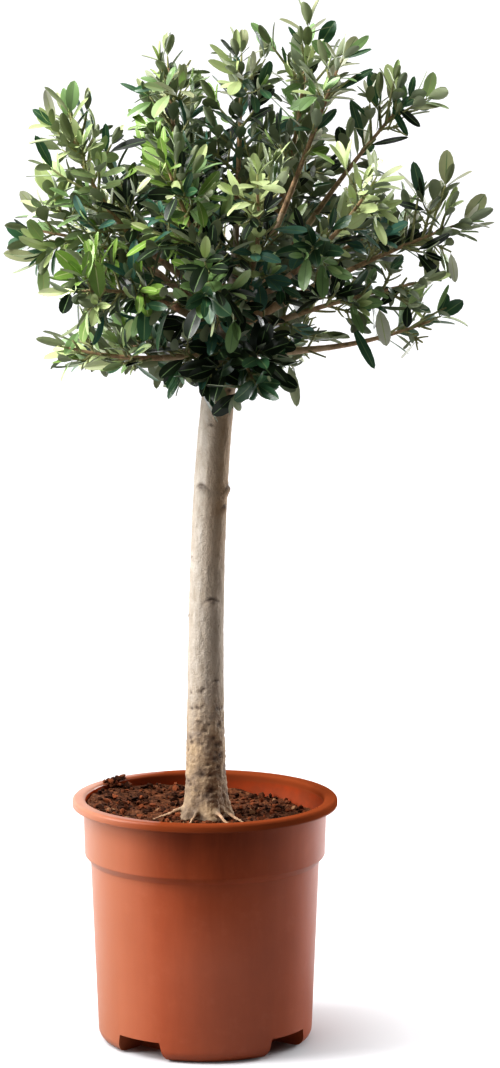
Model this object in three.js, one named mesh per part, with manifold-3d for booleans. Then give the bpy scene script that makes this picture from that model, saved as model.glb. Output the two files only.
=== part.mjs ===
// A small olive tree grown as a standard: a bare, slightly leaning stem under a loose round crown,
// standing in a plastic nursery pot. Millimetres, +Z up. The origin is the centre of the pot's flat
// underside, -Y is the pot's front, and +X is to the right of a person who faces that front.
import * as THREE from 'three';
import { mergeVertices } from 'three/addons/utils/BufferGeometryUtils.js';
import Module from 'manifold-3d';

const wasm = await Module();
wasm.setup();

// Clearance between pieces that touch on the real plant
const GAP = 0.3;

// The pot: a thin tapered shell with a collar, a turned-down lip and four drainage pockets under its edge
const POT = {
  height: 177, wall: 1.8, floor: 2.2, sides: 24,
  lipRadius: 95, lipDrop: 6.5, lipSoften: 2,
  collarTopRadius: 87.3, collarFootRadius: 86.2, stepHeight: 136, stepDrop: 5,
  bodyTopRadius: 82, bodyFootRadius: 77, cornerRadius: 9,
};
const POCKET = { count: 4, firstTurn: -38, inner: 48, height: 14, topHalf: 18, footHalf: 22 };

// The potting soil: level round the stem, high against the left wall and low against the right one
const SOIL = { level: 162, levelRadius: 46, wallMean: 166, wallTilt: 8, lump: 1.6, seed: 11 };

// The stem: upright as far as leanFrom, its lean then grows with height; its foot flares into surface roots
const TRUNK = {
  foot: SOIL.level + GAP, top: 546, topEdge: 4, footX: 0.5, lean: 21, leanFrom: 172.3, leanPower: 3.4,
  sides: 12, rings: 12,
  radius: 12, taper: 0.8, swell: 3.2, swellHeight: 90, flare: 5, flareHeight: 14, lobes: 5, lobeDepth: 0.22,
};
const ROOTS = { radius: 3.4, tipRadius: 1.1, rise: 7, sides: 5, rings: 3 };
const ROOT_RUNS = [
  { turn: 198, reach: 42 },
  { turn: 248, reach: 33 },
  { turn: 297, reach: 41 },
  { turn: 322, reach: 36 },
  { turn: 75, reach: 36 },
  { turn: 140, reach: 32 },
];

// Limbs: each bough tapers from its collar on the stem to the tip where its foliage takes over
const BOUGH = {
  sides: 5, rings: 2, leafless: 0.6, thinnest: 2, thicken: 0.02, tipRadius: 2.1,
  collar: 0.9, collarShare: 0.12,
};

// One row for each limb: fork is the height where it leaves the stem; turn is its compass direction in
// degrees from +X towards +Y, reach its level length and rise its climb to the tip; arch lifts its middle.
// The leaf sizes say the same of its foliage, out to the furthest leaf, and spread is that mass's half
// width. A limb with no reach is foliage that sits on the stem itself.
const LIMBS = [
  { name: 'low_left', fork: 500, turn: 195, reach: 77, rise: -4, arch: -3,
    leafTurn: 189, leafReach: 61, leafRise: 13, spread: 25 },
  { name: 'mid_left', fork: 508, turn: 213, reach: 83, rise: 40, arch: 3,
    leafTurn: 205, leafReach: 60, leafRise: -2, spread: 34 },
  { name: 'far_left', fork: 514, turn: 172, reach: 89, rise: 61, arch: 4,
    leafTurn: 186, leafReach: 70, leafRise: 12, spread: 40 },
  { name: 'left_shoulder', fork: 526, turn: 196, reach: 98, rise: 74, arch: 0,
    leafTurn: 194, leafReach: 25, leafRise: 80, spread: 38 },
  { name: 'top_left', fork: 528, turn: 148, reach: 47, rise: 109, arch: -12,
    leafTurn: 155, leafReach: 6, leafRise: 86, spread: 34 },
  { name: 'front_high', fork: 522, turn: 243, reach: 56, rise: 69, arch: -4,
    leafTurn: 240, leafReach: 46, leafRise: 61, spread: 36 },
  { name: 'top_middle', fork: 540, turn: 300, reach: 9, rise: 100, arch: 0,
    leafTurn: 0, leafReach: 2, leafRise: 87, spread: 36 },
  { name: 'spire', fork: 529, turn: 9, reach: 50, rise: 124, arch: -18,
    leafTurn: 335, leafReach: 7, leafRise: 92, spread: 28 },
  { name: 'top_right', fork: 524, turn: 335, reach: 70, rise: 152, arch: -17,
    leafTurn: 333, leafReach: 27, leafRise: 46, spread: 24 },
  { name: 'upper_right', fork: 518, turn: 3, reach: 105, rise: 145, arch: -9,
    leafTurn: 354, leafReach: 44, leafRise: 25, spread: 28 },
  { name: 'right_shoulder', fork: 516, turn: 322, reach: 100, rise: 67, arch: 2,
    leafTurn: 316, leafReach: 44, leafRise: 60, spread: 32 },
  { name: 'right_arm', fork: 512, turn: 358, reach: 135, rise: 67, arch: 1,
    leafTurn: 354, leafReach: 50, leafRise: 17, spread: 40 },
  { name: 'right_middle', fork: 504, turn: 336, reach: 97, rise: 36, arch: 2,
    leafTurn: 353, leafReach: 70, leafRise: 17, spread: 30 },
  { name: 'low_right', fork: 497, turn: 8, reach: 129, rise: 11, arch: -4,
    leafTurn: 352, leafReach: 43, leafRise: 22, spread: 26 },
  { name: 'front_right', fork: 524, turn: 290, reach: 58, rise: 42, arch: 0,
    leafTurn: 270, leafReach: 60, leafRise: 73, spread: 36 },
  { name: 'front_low', fork: 508, turn: 262, reach: 58, rise: 33, arch: 2,
    leafTurn: 265, leafReach: 67, leafRise: 36, spread: 34 },
  { name: 'back_left', fork: 506, turn: 138, reach: 84, rise: 56, arch: 2,
    leafTurn: 146, leafReach: 66, leafRise: 20, spread: 38 },
  { name: 'back', fork: 504, turn: 92, reach: 74, rise: 52, arch: 2,
    leafTurn: 88, leafReach: 70, leafRise: 22, spread: 38 },
  { name: 'back_right', fork: 510, turn: 40, reach: 100, rise: 53, arch: 2,
    leafTurn: 36, leafReach: 72, leafRise: 18, spread: 38 },
  { name: 'back_top_left', fork: 520, turn: 120, reach: 62, rise: 106, arch: -10,
    leafTurn: 122, leafReach: 46, leafRise: 60, spread: 38 },
  { name: 'back_top_right', fork: 524, turn: 52, reach: 70, rise: 97, arch: -8,
    leafTurn: 44, leafReach: 50, leafRise: 58, spread: 38 },
  { name: 'back_low_left', fork: 496, turn: 155, reach: 68, rise: 5, arch: -2,
    leafTurn: 152, leafReach: 60, leafRise: -6, spread: 32 },
  { name: 'back_low_right', fork: 500, turn: 55, reach: 70, rise: 1, arch: -2,
    leafTurn: 52, leafReach: 66, leafRise: -2, spread: 34 },
  { name: 'under_front', fork: 504, reach: 0, leafTurn: 293, leafReach: 76, leafRise: -30, spread: 36 },
  { name: 'under_left', fork: 504, reach: 0, leafTurn: 236, leafReach: 66, leafRise: -25, spread: 32 },
];

// Foliage: opposite twigs on one stem, each next pair turned a quarter, with opposite leaves
const TWIG = {
  sides: 3, rings: 4, stemRadius: 2.4, stemTipRadius: 1.9, footRadius: 1.5, tipRadius: 1.35, pairs: 2,
  first: 0.25, last: 0.75, angle: 52, angleSpread: 20, rollSpread: 50, shorten: 0.45, lengthSpread: 0.4,
  lift: 0.16, leadIn: 0.45, rooted: 2, tries: 6, seed: 100,
};
const LEAF = {
  length: 35, lengthSpread: 0.3, width: 0.42, shoulder: 0.38, waist: 0.72, thickness: 0.8, sunk: 1.2,
  angle: 42, angleSpread: 24, rollSpread: 60, tries: 4, tipShare: 0.78, seed: 900,
};
const LEAF_NODES = { stem: [0.12, 0.5, 0.98], twig: [0.45, 0.97] };
const CLEAR = { space: 0.75, limb: 0.9, twig: 2.2 };

const UP = new THREE.Vector3(0, 0, 1);
const BACK = new THREE.Vector3(0, 1, 0);
const STEEP = 0.8;
const radians = THREE.MathUtils.degToRad;

// Finishes
const FINISH = {
  pot: new THREE.MeshStandardMaterial({ color: 0xb4552f, roughness: 0.55, metalness: 0 }),
  soil: new THREE.MeshStandardMaterial({ color: 0x3d2a20, roughness: 0.95, metalness: 0 }),
  bark: new THREE.MeshStandardMaterial({ color: 0x9c907c, roughness: 0.85, metalness: 0 }),
  bough: new THREE.MeshStandardMaterial({ color: 0x80695a, roughness: 0.85, metalness: 0 }),
  foliage: new THREE.MeshStandardMaterial({ color: 0x567a3c, roughness: 0.5, metalness: 0 }),
};

// Repeatable numbers from 0 to 1, mixed in 32 bits
function randomSource(seed) {
  let state = seed >>> 0;
  return () => {
    state = (state + 0x6d2b79f5) >>> 0;
    let mixed = Math.imul(state ^ (state >>> 15), state | 1);
    mixed ^= mixed + Math.imul(mixed ^ (mixed >>> 7), mixed | 61);
    return ((mixed ^ (mixed >>> 14)) >>> 0) / 2 ** 32;
  };
}

// A closed geometry as a solid that can be joined and cut
function solidOf(geometry) {
  const bare = geometry.clone();
  bare.deleteAttribute('normal');
  bare.deleteAttribute('uv');
  const merged = mergeVertices(bare, 1e-4);
  return new wasm.Manifold(new wasm.Mesh({
    numProp: 3,
    vertProperties: new Float32Array(merged.attributes.position.array),
    triVerts: new Uint32Array(merged.index.array),
  }));
}

// The largest body of a solid, without loose scraps and with any sealed hollow filled
function wholeBody(solid) {
  return solid.decompose().reduce((best, body) => (body.volume() > best.volume() ? body : best));
}

function meshOf(name, solid, finish) {
  const { vertProperties, triVerts } = solid.getMesh();
  const geometry = new THREE.BufferGeometry();
  geometry.setAttribute('position', new THREE.BufferAttribute(vertProperties, 3));
  geometry.setIndex(new THREE.BufferAttribute(triVerts, 1));
  geometry.computeVertexNormals();
  const mesh = new THREE.Mesh(geometry, finish);
  mesh.name = name;
  return mesh;
}

// A lathe about +Z from [radius, height] pairs that start and end on the axis
function turned(profile, sides) {
  const points = profile.map(([radius, height]) => new THREE.Vector2(radius, height));
  return new THREE.LatheGeometry(points, sides).rotateX(Math.PI / 2);
}

// Points of a quarter-round between two directions about a centre
function arcPoints(centre, radius, fromDegrees, toDegrees, steps) {
  return Array.from({ length: steps + 1 }, (_, i) => {
    const angle = radians(fromDegrees + ((toDegrees - fromDegrees) * i) / steps);
    return [centre[0] + radius * Math.cos(angle), centre[1] + radius * Math.sin(angle)];
  });
}

function potProfile() {
  const { height, wall, lipRadius, lipDrop, lipSoften, cornerRadius } = POT;
  const cornerCentre = [POT.bodyFootRadius - cornerRadius, cornerRadius];
  const collarTop = POT.collarTopRadius - wall;
  const innerCorner = cornerRadius - wall;
  return [
    [0, 0],
    ...arcPoints(cornerCentre, cornerRadius, -90, 0, 3),
    [POT.bodyTopRadius, POT.stepHeight - POT.stepDrop],
    [POT.collarFootRadius, POT.stepHeight],
    [POT.collarTopRadius, height - wall - lipSoften],
    [lipRadius - wall, height - wall - lipSoften],
    [lipRadius - wall, height - lipDrop],
    [lipRadius, height - lipDrop],
    [lipRadius, height - lipSoften],
    [lipRadius - lipSoften, height],
    [POT.collarTopRadius, height],
    [collarTop, height - lipSoften],
    [POT.collarFootRadius - wall, POT.stepHeight + wall / 2],
    [POT.bodyTopRadius - wall, POT.stepHeight - POT.stepDrop + wall / 2],
    ...arcPoints([cornerCentre[0], POT.floor + innerCorner], innerCorner, 0, -90, 2),
    [0, POT.floor],
  ];
}

// A drainage pocket's wedge, wider at its foot, grown on every side by a thickness
function pocketWedge(turnDegrees, grow) {
  const { inner, height, topHalf, footHalf } = POCKET;
  const below = 5;
  const outline = new THREE.Shape([
    new THREE.Vector2(-footHalf - grow, -below),
    new THREE.Vector2(footHalf + grow, -below),
    new THREE.Vector2(footHalf + grow, 0),
    new THREE.Vector2(topHalf + grow, height + grow),
    new THREE.Vector2(-topHalf - grow, height + grow),
    new THREE.Vector2(-footHalf - grow, 0),
  ]);
  const depth = POT.lipRadius - inner + grow;
  const wedge = new THREE.ExtrudeGeometry(outline, { depth, bevelEnabled: false });
  wedge.rotateX(Math.PI / 2).rotateZ(Math.PI / 2).translate(inner - grow, 0, 0);
  return solidOf(wedge.rotateZ(radians(turnDegrees)));
}

function pocketWedges(grow) {
  const turns = Array.from({ length: POCKET.count }, (_, i) => POCKET.firstTurn + (360 / POCKET.count) * i);
  return wasm.Manifold.union(turns.map((turn) => pocketWedge(turn, grow)));
}

// The turned shell keeps a wall round each pocket: the part of the pocket's grown wedge inside the pot
function makePot() {
  const profile = potProfile();
  const shell = solidOf(turned(profile, POT.sides));
  const outer = solidOf(turned([...profile.slice(0, 6), [0, POT.stepHeight - POT.stepDrop]], POT.sides));
  const pocketWalls = pocketWedges(POT.wall).intersect(outer);
  return wholeBody(shell.add(pocketWalls).subtract(pocketWedges(0)));
}

// The pot's inner radius at a height above the floor's rounded corner
function innerRadius(height) {
  const { stepHeight, stepDrop, wall } = POT;
  const stepFoot = stepHeight - stepDrop + wall / 2;
  const stepTop = stepHeight + wall / 2;
  const runs = [
    [POT.floor + POT.cornerRadius - wall, POT.bodyFootRadius - wall, stepFoot, POT.bodyTopRadius - wall],
    [stepFoot, POT.bodyTopRadius - wall, stepTop, POT.collarFootRadius - wall],
    [stepTop, POT.collarFootRadius - wall, POT.height - POT.lipSoften, POT.collarTopRadius - wall],
  ];
  const [low, lowRadius, high, highRadius] = runs.find((run) => height <= run[2]);
  return THREE.MathUtils.mapLinear(height, low, high, lowRadius, highRadius);
}

function soilHeight(x, y) {
  const away = Math.hypot(x - TRUNK.footX, y);
  const atWall = SOIL.wallMean - SOIL.wallTilt * (x / (away || 1));
  const share = THREE.MathUtils.smoothstep(away, SOIL.levelRadius, POT.collarFootRadius - POT.wall);
  return THREE.MathUtils.lerp(SOIL.level, atWall, share);
}

function makeSoil() {
  const floor = POT.floor + GAP;
  const corner = POT.cornerRadius - POT.wall;
  const side = (height) => [innerRadius(height) - GAP, height];
  const stepFoot = POT.stepHeight - POT.stepDrop + POT.wall / 2;
  const topRings = [72, 60, SOIL.levelRadius + 3];
  const shape = turned([
    [0, floor],
    [POT.bodyFootRadius - POT.cornerRadius - GAP, floor],
    [POT.bodyFootRadius - POT.wall - GAP, floor + corner + GAP],
    [innerRadius(stepFoot) - GAP, stepFoot + GAP],
    [POT.collarFootRadius - POT.wall - GAP, POT.stepHeight + POT.wall / 2 + GAP],
    side(SOIL.wallMean),
    ...topRings.map((radius) => [radius, SOIL.level]),
    [0, SOIL.level],
  ], POT.sides);
  const random = randomSource(SOIL.seed);
  const lumps = Array.from({ length: POT.sides }, () => topRings.map(() => SOIL.lump * (random() - 0.5)));
  const { position } = shape.attributes;
  const ringPoints = topRings.length + 7;
  for (let i = 0; i < position.count; i += 1) {
    const ring = i % ringPoints;
    const spoke = Math.floor(i / ringPoints) % POT.sides;
    const [x, y] = [position.getX(i), position.getY(i)];
    if (ring === 5) {
      const height = soilHeight(x, y);
      const scale = (innerRadius(height) - GAP) / Math.hypot(x, y);
      position.setXYZ(i, x * scale, y * scale, height);
    } else if (ring > 5 && ring < ringPoints - 1) {
      position.setZ(i, Math.min(soilHeight(x, y) + lumps[spoke][ring - 6], POT.height - POT.wall));
    }
  }
  const levelPad = new THREE.CylinderGeometry(SOIL.levelRadius, SOIL.levelRadius, 30, POT.sides);
  levelPad.rotateX(Math.PI / 2).translate(TRUNK.footX, 0, SOIL.level + 15);
  return wholeBody(solidOf(shape).subtract(pocketWedges(POT.wall + GAP)).subtract(solidOf(levelPad)));
}

// A round limb: a cylinder whose rings are moved onto a curve, with a radius for each share of its length
function limb(curve, radiusAt, sides, rings) {
  const shape = new THREE.CylinderGeometry(1, 1, 1, sides, rings);
  const { position } = shape.attributes;
  const point = new THREE.Vector3();
  for (let i = 0; i < position.count; i += 1) {
    const share = position.getY(i) + 0.5;
    const [side, front] = crossAxes(curve, share);
    const radius = radiusAt(share);
    point.copy(curve.getPoint(share));
    point.addScaledVector(side, position.getX(i) * radius);
    point.addScaledVector(front, position.getZ(i) * radius);
    position.setXYZ(i, point.x, point.y, point.z);
  }
  return solidOf(shape);
}

// Two directions square to a curve at a share of its length; a steep curve takes them from +Y, not from up
function crossAxes(curve, share) {
  const chord = curve.getPoint(1).sub(curve.getPoint(0)).normalize();
  const reference = Math.abs(chord.z) > STEEP ? BACK : UP;
  const heading = curve.getTangent(share);
  const side = new THREE.Vector3().crossVectors(heading, reference).normalize();
  return [side, new THREE.Vector3().crossVectors(side, heading)];
}

function trunkAxis(height) {
  const share = (height - TRUNK.leanFrom) / (TRUNK.top - TRUNK.leanFrom);
  return new THREE.Vector3(TRUNK.footX + TRUNK.lean * Math.max(share, 0) ** TRUNK.leanPower, 0, height);
}

function trunkRadius(height) {
  const up = height - TRUNK.foot;
  const share = up / (TRUNK.top - TRUNK.foot);
  const swell = TRUNK.swell * Math.exp(-up / TRUNK.swellHeight);
  const flare = TRUNK.flare * Math.exp(-up / TRUNK.flareHeight);
  return TRUNK.radius - TRUNK.taper * share ** 4 + swell + flare;
}

// The bare stem, with a lobed foot and a worn edge round its top, grown by a clearance
function trunkStem(grow) {
  const shape = new THREE.CylinderGeometry(1, 1, 1, TRUNK.sides, TRUNK.rings);
  const { position } = shape.attributes;
  const full = TRUNK.top - TRUNK.topEdge - TRUNK.foot;
  for (let i = 0; i < position.count; i += 1) {
    const ring = Math.round((position.getY(i) + 0.5) * TRUNK.rings);
    const below = Math.min(ring / (TRUNK.rings - 1), 1) ** 1.6;
    const atTop = ring === TRUNK.rings;
    const height = TRUNK.foot + full * below + (atTop ? TRUNK.topEdge + grow : 0);
    const angle = Math.atan2(-position.getZ(i), position.getX(i));
    const onRim = Math.hypot(position.getX(i), position.getZ(i));
    const flare = Math.exp(-(height - TRUNK.foot) / TRUNK.flareHeight);
    const lobes = 1 + TRUNK.lobeDepth * flare * Math.cos(TRUNK.lobes * angle);
    const edge = atTop ? 0.75 : 1;
    const radius = onRim * (trunkRadius(height) * lobes * edge + grow);
    const axis = trunkAxis(height);
    position.setXYZ(i, axis.x + radius * Math.cos(angle), axis.y + radius * Math.sin(angle), height);
  }
  return solidOf(shape);
}

function surfaceRoot({ turn, reach }) {
  const from = trunkAxis(TRUNK.foot + ROOTS.rise * 2);
  const way = new THREE.Vector3(Math.cos(radians(turn)), Math.sin(radians(turn)), 0);
  const shoulder = trunkAxis(TRUNK.foot + ROOTS.rise * 0.6).addScaledVector(way, reach * 0.55);
  const tip = trunkAxis(TRUNK.foot).addScaledVector(way, reach);
  const run = new THREE.QuadraticBezierCurve3(from, shoulder, tip);
  const radiusAt = (share) => THREE.MathUtils.lerp(ROOTS.radius, ROOTS.tipRadius, share);
  return limb(run, radiusAt, ROOTS.sides, ROOTS.rings);
}

function makeTrunk() {
  const below = new THREE.BoxGeometry(POT.lipRadius * 2, POT.lipRadius * 2, POT.height);
  below.translate(0, 0, TRUNK.foot - POT.height / 2);
  const rooted = wasm.Manifold.union([trunkStem(0), ...ROOT_RUNS.map(surfaceRoot)]);
  return wholeBody(rooted.subtract(solidOf(below)));
}

function stepFrom(point, turn, reach, rise) {
  const way = new THREE.Vector3(Math.cos(radians(turn)) * reach, Math.sin(radians(turn)) * reach, rise);
  return point.clone().add(way);
}

// The end of a foliage stem: most of a leaf short of the furthest leaf's tip
function stemEnd(from, row) {
  const tip = stepFrom(from, row.leafTurn, row.leafReach, row.leafRise);
  return tip.lerp(from, (LEAF.length * LEAF.tipShare) / from.distanceTo(tip));
}

// The curves of a limb: its bare bough from the stem's axis, and the stem of its foliage from there on
function limbCurves(row) {
  const fork = trunkAxis(row.fork);
  if (!row.reach) {
    const end = stemEnd(fork, row);
    const root = stepFrom(fork, row.leafTurn, trunkRadius(row.fork) - TWIG.rooted, 0);
    const middle = root.clone().lerp(end, 0.5).addScaledVector(UP, row.spread * TWIG.lift);
    return { foliage: new THREE.QuadraticBezierCurve3(root, middle, end) };
  }
  const tip = stepFrom(fork, row.turn, row.reach, row.rise);
  const middle = fork.clone().lerp(tip, 0.5).addScaledVector(UP, row.arch * 2);
  const run = new THREE.QuadraticBezierCurve3(fork, middle, tip);
  const bare = run.getPoint(BOUGH.leafless);
  const bough = new THREE.QuadraticBezierCurve3(fork, fork.clone().lerp(middle, BOUGH.leafless), bare);
  const heading = bough.getTangent(1);
  const start = bare.clone().addScaledVector(heading, GAP);
  const end = stemEnd(tip, row);
  const lead = start.clone().addScaledVector(heading, start.distanceTo(end) * TWIG.leadIn);
  const footRadius = BOUGH.thinnest + BOUGH.thicken * bough.getLength();
  return { bough, footRadius, foliage: new THREE.QuadraticBezierCurve3(start, lead, end) };
}

function boughRadius(footRadius, share) {
  const collar = BOUGH.collar * Math.exp(-share / BOUGH.collarShare);
  return THREE.MathUtils.lerp(footRadius, BOUGH.tipRadius, share) + collar;
}

// Distance from a point to a run of points joined by straight lines
const nearest = new THREE.Vector3();
const span = new THREE.Line3();
function distanceTo(run, point) {
  let least = Infinity;
  for (let i = 1; i < run.length; i += 1) {
    span.set(run[i - 1], run[i]).closestPointToPoint(point, true, nearest);
    least = Math.min(least, nearest.distanceTo(point));
  }
  return least;
}

// Every limb's curves, and the runs of points that keep foliage in its own space and off the wood
const limbs = LIMBS.map((row) => {
  const curves = limbCurves(row);
  return { ...row, ...curves, stemRun: curves.foliage.getPoints(8), boughRun: curves.bough?.getPoints(8) };
});
const trunkRun = [TRUNK.foot, (TRUNK.foot + TRUNK.top) / 2, TRUNK.top - 50, TRUNK.top].map(trunkAxis);

function inOwnSpace(own, point) {
  const room = distanceTo(own.stemRun, point) + 2 * CLEAR.space;
  return limbs.every((other) => other === own || distanceTo(other.stemRun, point) > room);
}

function offTheWood(point) {
  if (distanceTo(trunkRun, point) < TRUNK.radius + CLEAR.limb + 1) return false;
  return limbs.every(({ boughRun, footRadius }) => (
    !boughRun || distanceTo(boughRun, point) > footRadius + CLEAR.limb
  ));
}

// A straight twig from a point on its stem, drawn a little upwards
function twigCurve(from, heading, length) {
  const end = from.clone().addScaledVector(heading, length).addScaledVector(UP, length * TWIG.lift);
  return new THREE.LineCurve3(from, end);
}

// Opposite pairs of twigs up the stem; a twig that finds no room in a few tries is left out
function growTwigs(own, random) {
  const twigs = [];
  for (let pair = 0; pair < TWIG.pairs; pair += 1) {
    const share = THREE.MathUtils.lerp(TWIG.first, TWIG.last, pair / (TWIG.pairs - 1));
    const from = own.foliage.getPoint(share);
    const heading = own.foliage.getTangent(share);
    const [side, front] = crossAxes(own.foliage, share);
    for (const half of [0, 180]) {
      for (let attempt = 0; attempt < TWIG.tries; attempt += 1) {
        const roll = radians(pair * 90 + half + TWIG.rollSpread * (random() - 0.5) * (attempt + 1));
        const angle = radians(TWIG.angle + TWIG.angleSpread * (random() - 0.5));
        const size = own.spread * (1 - TWIG.shorten * share);
        const length = size * (1 + TWIG.lengthSpread * (random() - 0.5));
        const out = side.clone().multiplyScalar(Math.cos(roll)).addScaledVector(front, Math.sin(roll));
        const way = heading.clone().multiplyScalar(Math.cos(angle)).addScaledVector(out, Math.sin(angle));
        const curve = twigCurve(from, way, length);
        const outer = curve.getPoints(6).slice(2);
        if (outer.every((point) => inOwnSpace(own, point) && offTheWood(point))) {
          twigs.push(curve);
          break;
        }
      }
    }
  }
  return twigs;
}

// A leaf's blade: an octahedron lying on a face, so that its outline is a long six-sided lens, drawn out
// towards its root
const BLADE = (() => {
  const blade = new THREE.OctahedronGeometry(1);
  const upright = new THREE.Vector3(1, 1, 1).normalize();
  const ahead = new THREE.Vector3(2, -1, -1).normalize();
  const side = new THREE.Vector3().crossVectors(upright, ahead);
  blade.applyMatrix4(new THREE.Matrix4().makeBasis(ahead, side, upright).transpose());
  blade.computeBoundingBox();
  const size = blade.boundingBox.getSize(new THREE.Vector3());
  blade.scale(1 / size.x, 1 / size.y, 1 / size.z).translate(0.5, 0, 0);
  const { position } = blade.attributes;
  for (let i = 0; i < position.count; i += 1) {
    const along = position.getX(i);
    if (along > 0.1 && along < 0.5) position.setX(i, LEAF.shoulder);
    if (along > 0.5 && along < 0.9) position.setX(i, LEAF.waist);
  }
  return blade;
})();

function leafPlace(from, way, face, length) {
  const side = new THREE.Vector3().crossVectors(face, way);
  return new THREE.Matrix4().makeBasis(way, side, face).setPosition(from)
    .multiply(new THREE.Matrix4().makeTranslation(-LEAF.sunk, 0, 0))
    .multiply(new THREE.Matrix4().makeScale(length, length * LEAF.width, LEAF.thickness));
}

// A blade's outline from its root round to its root again, on the blade's own axes
const OUTLINE = [
  [0, 0], [LEAF.shoulder, 0.5], [LEAF.waist, 0.5], [1, 0], [LEAF.waist, -0.5], [LEAF.shoulder, -0.5],
];

function outlineOf(place) {
  return OUTLINE.map(([along, across]) => new THREE.Vector3(along, across, 0).applyMatrix4(place));
}

// True where an edge of one outline passes through the other blade
function cutsThrough(outline, otherPlace) {
  const back = otherPlace.clone().invert();
  const local = outline.map((point) => point.clone().applyMatrix4(back));
  return local.some((from, i) => {
    const to = local[(i + 1) % local.length];
    if (from.z * to.z > 0) return false;
    const at = from.clone().lerp(to, from.z / (from.z - to.z || 1));
    return at.x > 0.06 && at.x < 1.02 && Math.abs(at.y) < 0.55;
  });
}

function leafHasRoom(own, place, wood, others) {
  const outline = outlineOf(place);
  const crossed = (other) => cutsThrough(outline, other) || cutsThrough(outlineOf(other), place);
  if (others.some(crossed)) return false;
  return [0.35, 0.55, 0.75, 1].every((along) => [-0.5, 0, 0.5].every((across) => {
    const point = new THREE.Vector3(along, along === 1 ? 0 : across, 0).applyMatrix4(place);
    const offTwigs = wood.every((run) => distanceTo(run, point) > CLEAR.twig);
    return offTwigs && inOwnSpace(own, point) && offTheWood(point);
  }));
}

// Opposite leaves along one shoot, each facing the shoot's tip and each kept clear of those already there
function growLeaves(own, curve, shares, wood, leaves, random) {
  shares.forEach((share, node) => {
    const from = curve.getPoint(share);
    const heading = curve.getTangent(share);
    const [side, front] = crossAxes(curve, share);
    for (const half of [0, 180]) {
      for (let attempt = 0; attempt < LEAF.tries; attempt += 1) {
        const roll = radians(node * 90 + half + LEAF.rollSpread * (random() - 0.5) * (attempt + 1));
        const angle = radians(LEAF.angle + LEAF.angleSpread * (random() - 0.5));
        const length = LEAF.length * (1 + LEAF.lengthSpread * (random() - 0.5));
        const out = side.clone().multiplyScalar(Math.cos(roll)).addScaledVector(front, Math.sin(roll));
        const way = heading.clone().multiplyScalar(Math.cos(angle)).addScaledVector(out, Math.sin(angle));
        const face = heading.clone().multiplyScalar(Math.sin(angle));
        face.addScaledVector(out, -Math.cos(angle));
        const place = leafPlace(from, way, face, length);
        if (leafHasRoom(own, place, wood, leaves)) {
          leaves.push(place);
          break;
        }
      }
    }
  });
}

// One mass of foliage: its stem, its twigs and their leaves, joined into one body
function makeFoliage(own, index) {
  const twigs = growTwigs(own, randomSource(TWIG.seed + index));
  const wood = [own.foliage, ...twigs].map((curve) => curve.getPoints(6));
  const leafRandom = randomSource(LEAF.seed + index);
  const leaves = [];
  growLeaves(own, own.foliage, LEAF_NODES.stem, wood, leaves, leafRandom);
  twigs.forEach((curve) => growLeaves(own, curve, LEAF_NODES.twig, wood, leaves, leafRandom));
  const stemRadius = (share) => THREE.MathUtils.lerp(TWIG.stemRadius, TWIG.stemTipRadius, share);
  const twigRadius = (share) => THREE.MathUtils.lerp(TWIG.footRadius, TWIG.tipRadius, share);
  const joined = wasm.Manifold.union([
    limb(own.foliage, stemRadius, TWIG.sides, TWIG.rings),
    ...twigs.map((curve) => limb(curve, twigRadius, TWIG.sides, 1)),
    ...leaves.map((place) => solidOf(BLADE.clone().applyMatrix4(place))),
  ]);
  return wholeBody(own.bough ? joined : joined.subtract(trunkStem(GAP)));
}

const tree = new THREE.Group();
tree.name = 'potted_olive_tree';
tree.add(meshOf('pot', makePot(), FINISH.pot));
tree.add(meshOf('soil', makeSoil(), FINISH.soil));
tree.add(meshOf('trunk', makeTrunk(), FINISH.bark));
const stemWithGap = trunkStem(GAP);
limbs.forEach((own, index) => {
  if (own.bough) {
    const radiusAt = (share) => boughRadius(own.footRadius, share);
    const wood = limb(own.bough, radiusAt, BOUGH.sides, BOUGH.rings).subtract(stemWithGap);
    tree.add(meshOf(`bough_${own.name}`, wholeBody(wood), FINISH.bough));
  }
  tree.add(meshOf(`foliage_${own.name}`, makeFoliage(own, index), FINISH.foliage));
});

export default tree;
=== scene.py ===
# %% [markdown]
# # A small olive standard in a nursery pot
# The real thing is a young olive grown as a standard: a bare stem, slightly leaning, under a loose round
# crown, in a terracotta-coloured plastic pot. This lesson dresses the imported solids. The pot, soil, stem
# and boughs are modelled as meshes, and the crown grows on from the boughs by a seeded rule. Sizes are
# written in millimetres, as on a workshop drawing, and each mesh is turned into metres when it is finished.

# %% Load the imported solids
import math
import bmesh
import bpy
import numpy as np
from mathutils import Matrix, Vector, noise


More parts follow.
